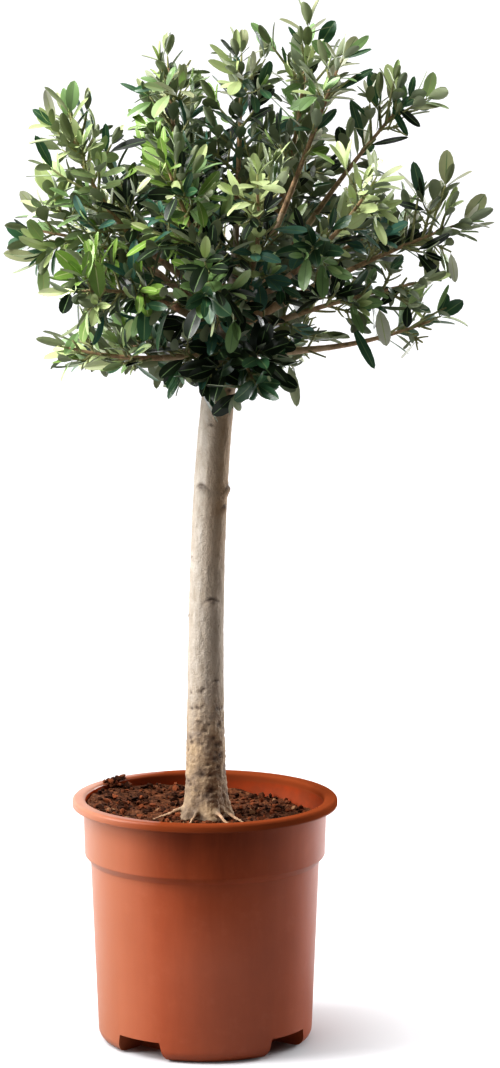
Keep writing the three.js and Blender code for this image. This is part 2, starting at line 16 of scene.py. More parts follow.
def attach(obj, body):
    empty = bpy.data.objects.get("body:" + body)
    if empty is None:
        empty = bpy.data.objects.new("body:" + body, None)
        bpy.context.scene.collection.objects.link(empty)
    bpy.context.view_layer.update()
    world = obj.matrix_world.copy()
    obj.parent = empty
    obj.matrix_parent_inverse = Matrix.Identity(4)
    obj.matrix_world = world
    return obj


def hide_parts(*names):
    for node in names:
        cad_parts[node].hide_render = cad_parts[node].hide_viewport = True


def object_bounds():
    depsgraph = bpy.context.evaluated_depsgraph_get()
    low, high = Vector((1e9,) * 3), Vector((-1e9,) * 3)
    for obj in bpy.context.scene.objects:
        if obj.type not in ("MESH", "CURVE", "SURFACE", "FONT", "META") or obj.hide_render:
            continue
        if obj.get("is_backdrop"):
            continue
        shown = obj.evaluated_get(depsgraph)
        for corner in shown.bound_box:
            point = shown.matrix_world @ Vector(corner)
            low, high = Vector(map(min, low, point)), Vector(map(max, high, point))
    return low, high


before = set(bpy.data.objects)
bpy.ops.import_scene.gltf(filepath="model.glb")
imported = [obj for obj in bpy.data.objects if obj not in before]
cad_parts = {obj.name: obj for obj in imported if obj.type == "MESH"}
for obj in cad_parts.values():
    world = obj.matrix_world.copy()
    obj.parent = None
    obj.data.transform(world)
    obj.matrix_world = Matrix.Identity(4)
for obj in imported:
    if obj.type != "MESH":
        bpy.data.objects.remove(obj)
cad_low, cad_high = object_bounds()
MM = 0.001
print("solids reach from", tuple(cad_low), "to", tuple(cad_high))

# %% [markdown]
# ## The camera
# A long lens far away keeps the pot's sides nearly parallel, as in a catalogue picture. It stands a little
# above the crown's middle and looks down by a few degrees, so that the soil shows inside the lip. The focal
# length is worked out from the picture's size, because Blender measures it against the longer side.

# %% Camera
IMAGE = (500, 1068)
VIEW = {"away": 3.2, "height": 0.8743, "aside": 0.0323, "tilt": 9.0, "focal_px": 4561, "sensor": 36}
camera = bpy.data.objects.new("camera", bpy.data.cameras.new("camera"))
bpy.context.scene.collection.objects.link(camera)
camera.data.sensor_width = VIEW["sensor"]
camera.data.lens = camera.data.sensor_width * VIEW["focal_px"] / max(IMAGE)
camera.location = (VIEW["aside"], -VIEW["away"], VIEW["height"])
camera.rotation_euler = (math.radians(90 - VIEW["tilt"]), 0, 0)
bpy.context.scene.camera = camera
print("lens", round(camera.data.lens, 1), "mm")

# %% [markdown]
# ## Helpers for meshes
# Every piece ends the same way: its mesh is scaled to metres, given its finishes, shaded smooth up to a
# crease angle and hung on the plant's one body, and the solids it stands for are hidden. One small function
# does that for all of them.

# %% Finish a piece
ROOT = "root"


def finish_piece(name, mesh, materials, nodes, crease=40):
    mesh.transform(Matrix.Scale(MM, 4))
    for finish in materials:
        mesh.materials.append(finish)
    mesh.shade_smooth()
    mesh.set_sharp_from_angle(angle=math.radians(crease))
    piece = bpy.data.objects.new(name, mesh)
    bpy.context.scene.collection.objects.link(piece)
    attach(piece, ROOT)
    if nodes:
        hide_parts(*nodes)
    triangles = sum(len(face.vertices) - 2 for face in mesh.polygons)
    print(name, "has", triangles, "triangles")


def mesh_from(bm, name):
    mesh = bpy.data.meshes.new(name)
    bm.to_mesh(mesh)
    bm.free()
    return mesh


def mesh_with(name, mesh, *changes):
    """A copy of a mesh after some modifiers, each given as its kind and settings."""
    working = bpy.data.objects.new(name, mesh)
    bpy.context.scene.collection.objects.link(working)
    for kind, settings in changes:
        modifier = working.modifiers.new(kind.lower(), kind)
        for key, value in settings.items():
            setattr(modifier, key, value)
    changed = bpy.data.meshes.new_from_object(
        working.evaluated_get(bpy.context.evaluated_depsgraph_get()))
    changed.name = name
    bpy.data.objects.remove(working)
    return changed


# %% [markdown]
# ## Shared effects for finishes
# Plastic, bark and soil all have a cloudy change of tone and a fine grain. Both are shader node groups,
# built once and placed in each material with its own values. They read Object coordinates, so the pattern
# stays where it is on the piece.

# %% Node groups
def new_group(name, inputs, outputs):
    group = bpy.data.node_groups.new(name, "ShaderNodeTree")
    for label, kind, value in inputs:
        socket = group.interface.new_socket(label, in_out="INPUT", socket_type=kind)
        if value is not None:
            socket.default_value = value
    for label, kind in outputs:
        group.interface.new_socket(label, in_out="OUTPUT", socket_type=kind)
    return group, group.nodes.new("NodeGroupInput"), group.nodes.new("NodeGroupOutput")


def add(tree, kind, links=None, **settings):
    """A node with its settings and values: links maps an input to a socket or to a plain value."""
    node = tree.nodes.new(kind)
    for key, value in settings.items():
        setattr(node, key, value)
    for key, value in (links or {}).items():
        if isinstance(value, bpy.types.NodeSocket):
            tree.links.new(value, node.inputs[key])
        else:
            node.inputs[key].default_value = value
    return node


def math_of(tree, operation, first, second):
    """The outcome of one piece of arithmetic on two sockets or plain values."""
    return add(tree, "ShaderNodeMath", {0: first, 1: second}, operation=operation).outputs[0]


def make_mottle():
    group, given, result = new_group(
        "mottle",
        [("Vector", "NodeSocketVector", None), ("Scale", "NodeSocketFloat", 40.0),
         ("Low", "NodeSocketFloat", 0.35), ("High", "NodeSocketFloat", 0.65)],
        [("Mask", "NodeSocketFloat")])
    clouds = add(group, "ShaderNodeTexNoise", {
        "Vector": given.outputs["Vector"], "Scale": given.outputs["Scale"], "Detail": 6.0, "Roughness": 0.62})
    mask = add(group, "ShaderNodeMapRange", {
        "Value": clouds.outputs["Fac"], "From Min": given.outputs["Low"], "From Max": given.outputs["High"]})
    group.links.new(mask.outputs["Result"], result.inputs["Mask"])
    return group


def make_grain():
    group, given, result = new_group(
        "grain",
        [("Vector", "NodeSocketVector", None), ("Scale", "NodeSocketFloat", 900.0),
         ("Pits", "NodeSocketFloat", 0.3)],
        [("Height", "NodeSocketFloat")])
    fine = add(group, "ShaderNodeTexNoise", {
        "Vector": given.outputs["Vector"], "Scale": given.outputs["Scale"], "Detail": 4.0})
    pits = add(group, "ShaderNodeTexVoronoi", {
        "Vector": given.outputs["Vector"], "Scale": given.outputs["Scale"]})
    deep = math_of(group, "MULTIPLY", pits.outputs["Distance"], given.outputs["Pits"])
    group.links.new(math_of(group, "ADD", fine.outputs["Fac"], deep), result.inputs["Height"])
    return group


MOTTLE = make_mottle()
GRAIN = make_grain()
print("groups", MOTTLE.name, GRAIN.name)


# %% Material helpers
def linear(red, green, blue):
    """A colour as the eye names it, 0 to 255, turned into the shader's linear light."""
    def one(value):
        share = value / 255
        return share / 12.92 if share <= 0.04045 else ((share + 0.055) / 1.055) ** 2.4
    return (one(red), one(green), one(blue), 1.0)


def new_material(name, color, roughness, **sockets):
    finish = bpy.data.materials.new(name)
    finish.use_nodes = True
    shader = finish.node_tree.nodes["Principled BSDF"]
    shader.inputs["Base Color"].default_value = linear(*color)
    shader.inputs["Roughness"].default_value = roughness
    for label, value in sockets.items():
        shader.inputs[label.replace("_", " ")].default_value = value
    return finish, finish.node_tree, shader


def place(tree, group, vector, **values):
    node = tree.nodes.new("ShaderNodeGroup")
    node.node_tree = group
    tree.links.new(vector, node.inputs["Vector"])
    for label, value in values.items():
        node.inputs[label].default_value = value
    return node


def blend_colors(tree, share, low, high):
    """Two colours mixed by a mask: each is a plain colour or another node's colour."""
    mix = tree.nodes.new("ShaderNodeMix")
    mix.data_type = "RGBA"
    tree.links.new(share, mix.inputs["Factor"])
    for label, value in (("A", low), ("B", high)):
        socket = next(s for s in mix.inputs if s.name == label and s.type == "RGBA")
        if isinstance(value, bpy.types.NodeSocket):
            tree.links.new(value, socket)
        else:
            socket.default_value = linear(*value)
    return next(s for s in mix.outputs if s.type == "RGBA")


def stretched(tree, vector, across, along):
    """Coordinates that make a pattern long in height and fine across, or the other way round."""
    return add(tree, "ShaderNodeMapping", {"Vector": vector, "Scale": (across, across, along)}).outputs[0]


def add_bump(tree, shader, height, strength, depth):
    bump = add(tree, "ShaderNodeBump", {"Height": height, "Strength": strength, "Distance": depth * MM})
    tree.links.new(bump.outputs["Normal"], shader.inputs["Normal"])


def object_place(tree):
    return tree.nodes.new("ShaderNodeTexCoord").outputs["Object"]


def mottle(tree, vector, scale, low, high):
    return place(tree, MOTTLE, vector, Scale=scale, Low=low, High=high).outputs["Mask"]


def grain(tree, vector, scale, pits):
    return place(tree, GRAIN, vector, Scale=scale, Pits=pits).outputs["Height"]


def times(tree, first, second):
    return math_of(tree, "MULTIPLY", first, second)


def ramp(tree, value, low, high, top=1.0):
    """Nothing at low, rising evenly to top at high. It also falls, where low is the larger of the two."""
    sizes = {"Value": value, "From Min": low, "From Max": high, "To Max": top}
    return add(tree, "ShaderNodeMapRange", sizes).outputs["Result"]


# %% [markdown]
# ## The pot
# A nursery pot is blown or moulded thin, so its wall, collar and lip are one turned shape. A profile is drawn
# with a few vertices and spun right round. The bevel operator then softens the ring edges, as a mould does.
# Four drainage pockets are cut under its edge with boolean modifiers, which leave clean walls round each.

# %% Pot sizes and profile
POT = {"height": 177, "wall": 1.8, "floor": 2.2, "lip": 95, "lip_drop": 5.9, "lip_soft": 1.4, "lip_roll": 2.8,
       "collar_top": 87.3, "collar_foot": 86.2, "step": 136, "step_drop": 5, "body_top": 82, "body_foot": 77,
       "corner": 9, "soft_edge": 0.7, "steps": 96, "corner_steps": 6, "roll_steps": 5, "inner_steps": 4}
POCKET = {"count": 4, "first": -38, "inner": 48, "height": 14, "top_half": 18, "foot_half": 22, "below": 5}
SAME_SPOT = 1e-4
SAME_HEIGHT = 1e-6
SHARP_EDGE = math.radians(25)


def arc(centre, radius, first, last, steps):
    angles = np.radians(np.linspace(first, last, steps + 1))
    return [(centre[0] + radius * math.cos(a), centre[1] + radius * math.sin(a)) for a in angles]


def pot_outside(inset=0):
    corner = (POT["body_foot"] - POT["corner"], POT["corner"])
    return [(0, inset), *arc(corner, POT["corner"] - inset, -90, 0, POT["corner_steps"]),
            (POT["body_top"] - inset, POT["step"] - POT["step_drop"])]


def pot_profile():
    wall, height = POT["wall"], POT["height"]
    under_lip = height - wall - POT["lip_soft"]
    inner = POT["corner"] - wall
    roll = (POT["collar_top"] - wall + POT["lip_roll"], height - POT["lip_roll"])
    floor_corner = (POT["body_foot"] - POT["corner"], POT["floor"] + inner)
    return [
        *pot_outside(), (POT["collar_foot"], POT["step"]), (POT["collar_top"], under_lip),
        (POT["lip"] - wall, under_lip), (POT["lip"] - wall, height - POT["lip_drop"]),
        (POT["lip"], height - POT["lip_drop"]), (POT["lip"], height - POT["lip_soft"]),
        (POT["lip"] - POT["lip_soft"], height), *arc(roll, POT["lip_roll"], 90, 180, POT["roll_steps"]),
        (POT["collar_foot"] - wall, POT["step"] + wall / 2),
        (POT["body_top"] - wall, POT["step"] - POT["step_drop"] + wall / 2),
        *arc(floor_corner, inner, 0, -90, POT["inner_steps"]), (0, POT["floor"]),
    ]


def spun(profile, steps, soften=0.0):
    """A profile of (radius, height) points turned right round, with its ring edges softened."""
    bm = bmesh.new()
    points = [bm.verts.new((radius, 0, height)) for radius, height in profile]
    edges = [bm.edges.new(pair) for pair in zip(points, points[1:])]
    bmesh.ops.spin(bm, geom=points + edges, cent=(0, 0, 0), axis=(0, 0, 1), dvec=(0, 0, 0),
                   angle=math.tau, steps=steps, use_merge=True, use_normal_flip=False, use_duplicate=False)
    bmesh.ops.remove_doubles(bm, verts=bm.verts, dist=SAME_SPOT)
    bmesh.ops.recalc_face_normals(bm, faces=bm.faces)
    if soften:
        rings = [e for e in bm.edges if abs(e.verts[0].co.z - e.verts[1].co.z) < SAME_HEIGHT
                 and e.is_manifold and e.calc_face_angle() > SHARP_EDGE]
        bmesh.ops.bevel(bm, geom=rings, offset=soften, offset_type="OFFSET", segments=3, profile=0.5,
                        affect="EDGES", material=-1, clamp_overlap=True)
    return bm


def pocket_wedges(grow):
    """The four drainage wedges, wider at the foot, grown on every side by a thickness."""
    bm = bmesh.new()
    height, below = POCKET["height"] + grow, POCKET["below"]
    reach = POT["lip"] - POCKET["inner"] + grow
    for turn in range(POCKET["count"]):
        made = bmesh.ops.create_cube(bm, size=1)["verts"]
        for v in made:
            half = POCKET["top_half"] if v.co.z > 0 else POCKET["foot_half"]
            v.co = (POCKET["inner"] - grow + (v.co.x + 0.5) * reach, 2 * v.co.y * (half + grow),
                    height if v.co.z > 0 else -below)
        angle = math.radians(POCKET["first"] + 360 / POCKET["count"] * turn)
        bmesh.ops.rotate(bm, verts=made, cent=(0, 0, 0), matrix=Matrix.Rotation(angle, 3, "Z"))
    return bm


# %% Pot mesh
def helper_object(bm, name):
    helper = bpy.data.objects.new(name, mesh_from(bm, name))
    bpy.context.scene.collection.objects.link(helper)
    return helper


def boolean(operation, other):
    return ("BOOLEAN", {"operation": operation, "object": other, "solver": "EXACT"})


mid_wall = [*pot_outside(POT["wall"] / 2), (0, POT["step"] - POT["step_drop"])]
inside_helper = helper_object(spun(mid_wall, POT["steps"]), "inside")
cut_helper = helper_object(pocket_wedges(0), "pocket_cut")
walls = mesh_with("pocket_walls", mesh_from(pocket_wedges(POT["wall"]), "walls"),
                  boolean("INTERSECT", inside_helper))
walls_helper = bpy.data.objects.new("walls", walls)
bpy.context.scene.collection.objects.link(walls_helper)
turned_pot = spun(pot_profile(), POT["steps"], POT["soft_edge"])
pot_mesh = mesh_with("pot_shell", mesh_from(turned_pot, "turned_pot"),
                     boolean("UNION", walls_helper), boolean("DIFFERENCE", cut_helper))
for helper in (inside_helper, cut_helper, walls_helper):
    bpy.data.objects.remove(helper)
print("pot has", len(pot_mesh.polygons), "faces")

# %% [markdown]
# The pot's plastic is an even brick orange with a satin skin. Close by it has cloudy changes of tone, faint
# upright flow marks from the mould and a little pale dust. The front is darker with painted shade towards the
# lip, and less glossy there. The side turned to the left lamp is paler with a painted sheen, the lip is
# darker with painted shade except on that side, and the inside is darker again. Such marks could be painted
# on by hand. Here each kind is a mask worked out from the place on the pot, so that it is a few sizes which
# are easy to move.

# %% Pot finish
LIP_SHADE = {  # painted shade on the front, darker towards the lip, and where the front is less glossy, in metres
    "toward": (0.06, -0.998, 0), "side": 0.064, "front": 0.0865, "low": 0.09, "high": 0.162, "most": 0.8,
    "lip": 0.1715, "lip_edge": 0.001, "matt_low": 0.07, "matt_high": 0.115, "matt_most": 0.85, "shade_streaks": -1.5}
SHEEN_SIDE = {"from": -0.03, "full": -0.08}  # painted sheen that pales the side turned to the left lamp, by x in metres
INSIDE = {"above": 140, "spare": 0.3}
# Three of these tones are painted light: the darkest is the front's painted shade, one a painted sheen for
# the lit side, and the lip's tone painted shade on the lip
POT_TONES = {"dark": (156, 75, 42), "plain": (166, 83, 49), "flow": (182, 90, 54), "dust": (184, 104, 74),
             "inside": (142, 55, 20), "soiled": (98, 54, 34), "painted_shade": (84, 32, 10),
             "painted_sheen": (166, 104, 74), "lip": (122, 60, 33)}
POT_SHARES = {"flow": 0.22, "dust": 0.3, "inside": 1.0, "soiled": 0.55, "lip": 0.9}


def on_the_inside(v):
    near = math.hypot(v.co.x, v.co.y) < POT["collar_top"] - POT["wall"] + INSIDE["spare"]
    inward = v.normal.x * v.co.x + v.normal.y * v.co.y < 0
    return near and inward and v.co.z > INSIDE["above"]


inside = np.array([on_the_inside(v) for v in pot_mesh.vertices], np.float32)
pot_mesh.attributes.new("inside", "FLOAT", "POINT").data.foreach_set("value", inside)
pot_finish, tree, shader = new_material("terracotta_plastic", (174, 84, 55), roughness=0.42)
where = object_place(tree)
clouds = mottle(tree, where, scale=22.0, low=0.3, high=0.7)
flow = mottle(tree, stretched(tree, where, across=1.0, along=0.12), scale=160.0, low=0.35, high=0.75)
dust = mottle(tree, where, scale=70.0, low=0.56, high=0.8)
inner = add(tree, "ShaderNodeAttribute", attribute_name="inside").outputs["Fac"]
soiled = times(tree, inner, mottle(tree, where, scale=45.0, low=0.4, high=0.62))
tone = blend_colors(tree, clouds, POT_TONES["dark"], POT_TONES["plain"])
for name, mask in (("flow", flow), ("dust", dust), ("inside", inner), ("soiled", soiled)):
    tone = blend_colors(tree, times(tree, mask, POT_SHARES[name]), tone, POT_TONES[name])
print(int(inside.sum()), "points lie on the pot's inside")

# %% Painted shade and sheen on the pot, and its gloss
SATIN = {"least": 0.3, "most": 0.42, "rougher_inside": 0.3, "gloss": 0.5}
spots = add(tree, "ShaderNodeSeparateXYZ", {0: where}).outputs
ahead = add(tree, "ShaderNodeVectorMath", {0: where, 1: LIP_SHADE["toward"]},
            operation="DOT_PRODUCT").outputs["Value"]
in_front = ramp(tree, ahead, LIP_SHADE["side"], LIP_SHADE["front"])
# painted shade: the front grows darker towards the lip
shade_under_lip = times(tree, in_front, ramp(tree, spots["Z"], LIP_SHADE["low"], LIP_SHADE["high"], LIP_SHADE["most"]))
shade_under_lip = times(tree, shade_under_lip, ramp(tree, spots["Z"], LIP_SHADE["lip"] + 2 * LIP_SHADE["lip_edge"], LIP_SHADE["lip"]))
# streaks that break up the painted shade
shade_streaks = mottle(tree, stretched(tree, where, across=1.0, along=0.15), scale=60.0, low=0.2, high=0.6)
tone = blend_colors(tree, times(tree, shade_under_lip, ramp(tree, shade_streaks, LIP_SHADE["shade_streaks"], 1.0)), tone, POT_TONES["painted_shade"])
# painted sheen: the outside is paled on the side that the left lamp lights
painted_sheen = ramp(tree, spots["X"], SHEEN_SIDE["from"], SHEEN_SIDE["full"])
outside = ramp(tree, inner, 1.0, 0.0)
tone = blend_colors(tree, times(tree, painted_sheen, outside), tone, POT_TONES["painted_sheen"])
# painted shade: the lip is darker, except on the side that the left lamp lights
on_lip = ramp(tree, spots["Z"], LIP_SHADE["lip"] - LIP_SHADE["lip_edge"], LIP_SHADE["lip"] + LIP_SHADE["lip_edge"])
on_lip = times(tree, on_lip, ramp(tree, painted_sheen, 1.0, 0.0))
tone = blend_colors(tree, times(tree, on_lip, POT_SHARES["lip"]), tone, POT_TONES["lip"])
tree.links.new(tone, shader.inputs["Base Color"])
satin = add(tree, "ShaderNodeMapRange", {
    "Value": clouds, "To Min": SATIN["least"], "To Max": SATIN["most"]}).outputs["Result"]
rougher = times(tree, inner, SATIN["rougher_inside"])
tree.links.new(math_of(tree, "ADD", satin, rougher), shader.inputs["Roughness"])
matt = ramp(tree, spots["Z"], LIP_SHADE["matt_low"], LIP_SHADE["matt_high"], LIP_SHADE["matt_most"])
matt = times(tree, in_front, matt)
for worn in (inner, on_lip):
    matt = math_of(tree, "MAXIMUM", matt, worn)
tree.links.new(ramp(tree, matt, 1.0, 0.0, SATIN["gloss"]), shader.inputs["Specular IOR Level"])
add_bump(tree, shader, grain(tree, where, scale=1500.0, pits=0.2), strength=0.12, depth=0.3)
finish_piece("pot_body", pot_mesh, [pot_finish], ["pot"], crease=35)

# %% [markdown]
# ## The soil
# Potting soil is a bed of crumbs. A turned body fills the pot, and its top is moved into the tilted, lumpy
# surface: high against the left wall, low against the right one. About 1,500 loose crumbs then lie on it,
# and a few more on the lip. They are one joined mesh made from arrays, because each is only a small
# twenty-sided lump, and single objects would be slow to handle.

# %% Soil surface
SOIL = {"level": 162, "level_radius": 46, "wall_mean": 166, "wall_tilt": 8, "floor": 22, "stem_x": 0.5,
        "foot_gap": 4, "wall_gap": 2.4, "wall_height": 128, "rim_gap": 0.3, "step_gap": 0.2,
        "step_height": 138, "steps": 90, "rings": 34}
LUMPS = {"coarse": 9, "coarse_rise": 2.2, "coarse_slice": 3.1,
         "fine": 2.6, "fine_rise": 0.5, "fine_slice": 8.7, "falloff": 0.9, "layers": 4}
FINER = 2.0  # how much finer each next layer of a relief's noise is
SOIL_RIM = POT["collar_foot"] - POT["wall"]


def soil_height(x, y):
    away = math.hypot(x - SOIL["stem_x"], y)
    at_wall = SOIL["wall_mean"] - SOIL["wall_tilt"] * (x / max(away, 1e-6))
    share = min(max((away - SOIL["level_radius"]) / (SOIL_RIM - SOIL["level_radius"]), 0), 1)
    share = share * share * (3 - 2 * share)
    return SOIL["level"] + (at_wall - SOIL["level"]) * share


def soil_lumps(x, y):
    coarse_spot = Vector((x / LUMPS["coarse"], y / LUMPS["coarse"], LUMPS["coarse_slice"]))
    fine_spot = Vector((x / LUMPS["fine"], y / LUMPS["fine"], LUMPS["fine_slice"]))
    coarse = noise.fractal(coarse_spot, LUMPS["falloff"], FINER, LUMPS["layers"])
    return LUMPS["coarse_rise"] * coarse + LUMPS["fine_rise"] * noise.noise(fine_spot)


rim = SOIL_RIM - SOIL["rim_gap"]
soil_profile = [(0, SOIL["floor"]), (POT["body_foot"] - SOIL["foot_gap"], SOIL["floor"]),
                (POT["body_top"] - SOIL["wall_gap"], SOIL["wall_height"]),
                (rim - SOIL["step_gap"], SOIL["step_height"])]
soil_profile += [(radius, SOIL["level"]) for radius in np.linspace(rim, 0, SOIL["rings"])]
bm = spun(soil_profile, SOIL["steps"])
for v in bm.verts:
    if v.co.z > SOIL["level"] - 1:
        v.co.z = soil_height(v.co.x, v.co.y) + soil_lumps(v.co.x, v.co.y)
soil_mesh = mesh_from(bm, "soil_bed")
print("soil bed has", len(soil_mesh.polygons), "faces")

# %% Soil finishes
EARTH = {"roughness": 0.95, "Specular_IOR_Level": 0.1}
SOIL_TONES = {"damp": (46, 27, 18), "dry": (94, 56, 37), "bits": (132, 86, 58)}
CRUMB_TONES = {"crumb_dark": (58, 34, 23), "crumb_brown": (98, 58, 39), "crumb_red": (126, 72, 46),
               "crumb_pale": (146, 110, 82)}
soil_finish, tree, shader = new_material("potting_soil", (70, 42, 28), **EARTH)
where = object_place(tree)
damp = mottle(tree, where, scale=70.0, low=0.36, high=0.64)
bits = mottle(tree, where, scale=420.0, low=0.45, high=0.7)
tone = blend_colors(tree, damp, SOIL_TONES["damp"], SOIL_TONES["dry"])
tone = blend_colors(tree, bits, tone, SOIL_TONES["bits"])
tree.links.new(tone, shader.inputs["Base Color"])
add_bump(tree, shader, grain(tree, where, scale=520.0, pits=0.8), strength=0.7, depth=1.2)
finish_piece("soil_bed", soil_mesh, [soil_finish], ["soil"], crease=80)
crumb_finishes = []
for name, color in CRUMB_TONES.items():
    finish, tree, shader = new_material(name, color, **EARTH)
    add_bump(tree, shader, grain(tree, object_place(tree), scale=900.0, pits=0.6), strength=0.5, depth=0.5)
    crumb_finishes.append(finish)


# %% Loose crumbs
CRUMBS = {"count": 1500, "smallest": 0.8, "largest": 3.4, "smaller": 2.6, "reach": 82.5, "stem_clear": 13,
          "spread": (0.02, 1), "squash": (0.55, 1.1), "lumpy": (0.55, 1.3), "tilt": 0.35, "lift": (0.05, 0.5),
          "chips": 60, "shares": (0.44, 0.37, 0.15, 0.04), "seed": 21}
HEAP = {"count": 54, "turn": 141, "turn_spread": 4, "away": 84.5, "away_spread": 2.2, "nearest": 79,
        "furthest": 89, "on_lip": 83, "lip_sunk": 0.6, "stack": 0.7, "shares": (0.35, 0.5, 0.13, 0.02)}
CHIP = (2.1, 1.1, 0.4)
LUMP = (1, 1, 0.8)


def array_mesh(name, points, faces, face_finish):
    """A mesh from arrays: points, faces of three or four corners (a fourth of -1 is none), a finish each."""
    corners = faces.ravel()
    used = corners >= 0
    sizes = (faces >= 0).sum(1)
    mesh = bpy.data.meshes.new(name)
    mesh.vertices.add(len(points))
    mesh.vertices.foreach_set("co", points.astype(np.float32).ravel())
    mesh.loops.add(int(used.sum()))
    mesh.loops.foreach_set("vertex_index", corners[used].astype(np.int32))
    mesh.polygons.add(len(faces))
    mesh.polygons.foreach_set("loop_start", np.concatenate([[0], np.cumsum(sizes)[:-1]]).astype(np.int32))
    mesh.update(calc_edges=True)
    mesh.polygons.foreach_set("material_index", face_finish.astype(np.int32))
    mesh.validate()
    return mesh


def icosahedron():
    bm = bmesh.new()
    bmesh.ops.create_icosphere(bm, subdivisions=1, radius=1)
    points = np.array([v.co for v in bm.verts])
    faces = np.array([[v.index for v in f.verts] + [-1] for f in bm.faces])
    bm.free()
    return points, faces


def crumb_spot(draw, in_heap):
    """How far out a crumb lies, and its x and y. The heap lies on the lip, the rest evenly on the soil."""
    if in_heap:
        turn = math.radians(draw.normal(HEAP["turn"], HEAP["turn_spread"]))
        away = draw.normal(HEAP["away"], HEAP["away_spread"])
        away = float(np.clip(away, HEAP["nearest"], HEAP["furthest"]))
    else:
        turn = draw.uniform(0, math.tau)
        away = CRUMBS["reach"] * math.sqrt(draw.uniform(*CRUMBS["spread"]))
    return away, away * math.cos(turn), away * math.sin(turn)


def crumb_size(draw):
    share = draw.uniform(0, 1) ** CRUMBS["smaller"]
    return CRUMBS["smallest"] + (CRUMBS["largest"] - CRUMBS["smallest"]) * share


def make_crumbs():
    draw = np.random.default_rng(CRUMBS["seed"])
    shape, shape_faces = icosahedron()
    points, faces, finish = [], [], []
    for index in range(CRUMBS["count"] + HEAP["count"]):
        in_heap = index >= CRUMBS["count"]
        away, x, y = crumb_spot(draw, in_heap)
        size = crumb_size(draw)
        squash = draw.uniform(*CRUMBS["squash"], 3) * (CHIP if index < CRUMBS["chips"] else LUMP)
        lumpy = shape * draw.uniform(*CRUMBS["lumpy"], (len(shape), 1)) * size * squash
        turned = Matrix.Rotation(draw.uniform(0, math.tau), 3, "Z")
        turned = turned @ Matrix.Rotation(draw.normal(0, CRUMBS["tilt"]), 3, "X")
        if math.hypot(x - SOIL["stem_x"], y) < CRUMBS["stem_clear"]:
            continue
        lift = size * draw.uniform(*CRUMBS["lift"])
        on_lip = in_heap and away > HEAP["on_lip"]
        z = POT["height"] - HEAP["lip_sunk"] if on_lip else soil_height(x, y) + soil_lumps(x, y)
        z += lift + (size * draw.uniform(0, HEAP["stack"]) if in_heap else 0)
        faces.append(np.where(shape_faces >= 0, shape_faces + len(points) * len(shape), -1))
        points.append(lumpy @ np.array(turned).T + (x, y, z))
        shares = HEAP["shares"] if in_heap else CRUMBS["shares"]
        finish.append(np.full(len(shape_faces), draw.choice(len(shares), p=shares)))
    return array_mesh("soil_crumbs", np.concatenate(points), np.concatenate(faces), np.concatenate(finish))


finish_piece("soil_crumbs", make_crumbs(), crumb_finishes, [], crease=50)

# %% [markdown]
# ## The limbs' sizes
# These rows are the plant's plan, the same as its solids were built to. Each limb leaves the stem at a fork
# height, runs in a compass direction, and carries a mass of foliage further on. Curves are three control
# points each, so that any share of their length gives a point and a heading.

# %% Limb rows
TRUNK = {"foot": 162.3, "top": 546, "foot_x": 0.5, "lean": 21, "lean_from": 172.3, "lean_power": 3.4,
         "radius": 12, "taper": 0.8, "swell": 3.2, "swell_height": 90, "flare": 3.6, "flare_height": 12,
         "lobes": 5, "lobe_depth": 0.16, "round_from": 0.97, "round_over": 0.03, "round_depth": 0.7,
         "sunk": 1}
BOUGH = {"leafless": 0.6, "thinnest": 2, "thicken": 0.02, "tip": 2.1, "collar": 0.9,
         "collar_share": 0.12, "skin": 0.2}
STEM = {"sunk": 2, "lift": 0.16, "run_on": 0.45}
GAP = 0.3
TIP_LEAF = 35 * 0.78  # how far short of its mass's end a stem stops, to leave room for the leaves at its tip
LEADER_LEAF = 19  # the same for the thin leader that runs on from the stem
LONGER = {  # leaders that run on further, so that the crown reaches as far as its solids
    "back": 14, "back_right": 10, "back_left": 10, "front_low": 12, "front_right": 9, "left_shoulder": 6}
LIMB_SIZES = ("fork", "turn", "reach", "rise", "arch", "leaf_turn", "leaf_reach", "leaf_rise", "spread")
LIMB_ROWS = {
    "low_left": (500, 195, 77, -4, -3, 189, 61, 13, 25),
    "mid_left": (508, 213, 83, 40, 3, 205, 60, -2, 34),
    "far_left": (514, 172, 89, 61, 4, 186, 70, 12, 40),
    "left_shoulder": (526, 196, 98, 74, 0, 194, 25, 80, 38),
    "top_left": (528, 148, 47, 109, -12, 155, 6, 86, 34),
    "front_high": (522, 243, 56, 69, -4, 240, 46, 61, 36),
    "top_middle": (540, 300, 9, 100, 0, 0, 2, 87, 36),
    "spire": (529, 9, 50, 124, -18, 335, 7, 92, 28),
    "top_right": (524, 335, 70, 152, -17, 333, 27, 46, 24),
    "upper_right": (518, 3, 105, 145, -9, 354, 44, 25, 28),
    "right_shoulder": (516, 322, 100, 67, 2, 316, 44, 60, 32),
    "right_arm": (512, 358, 135, 67, 1, 354, 50, 17, 40),
    "right_middle": (504, 336, 97, 36, 2, 353, 70, 17, 30),
    "low_right": (497, 8, 129, 11, -4, 352, 43, 22, 26),
    "front_right": (524, 290, 58, 42, 0, 270, 60, 73, 36),
    "front_low": (508, 262, 58, 33, 2, 265, 67, 36, 34),
    "back_left": (506, 138, 84, 56, 2, 146, 66, 20, 38),
    "back": (504, 92, 74, 52, 2, 88, 70, 22, 38),
    "back_right": (510, 40, 100, 53, 2, 36, 72, 18, 38),
    "back_top_left": (520, 120, 62, 106, -10, 122, 46, 60, 38),
    "back_top_right": (524, 52, 70, 97, -8, 44, 50, 58, 38),
    "back_low_left": (496, 155, 68, 5, -2, 152, 60, -6, 32),
    "back_low_right": (500, 55, 70, 1, -2, 52, 66, -2, 34),
    "under_front": (504, 0, 0, 0, 0, 293, 76, -30, 36),
    "under_left": (504, 0, 0, 0, 0, 236, 66, -25, 32),
}
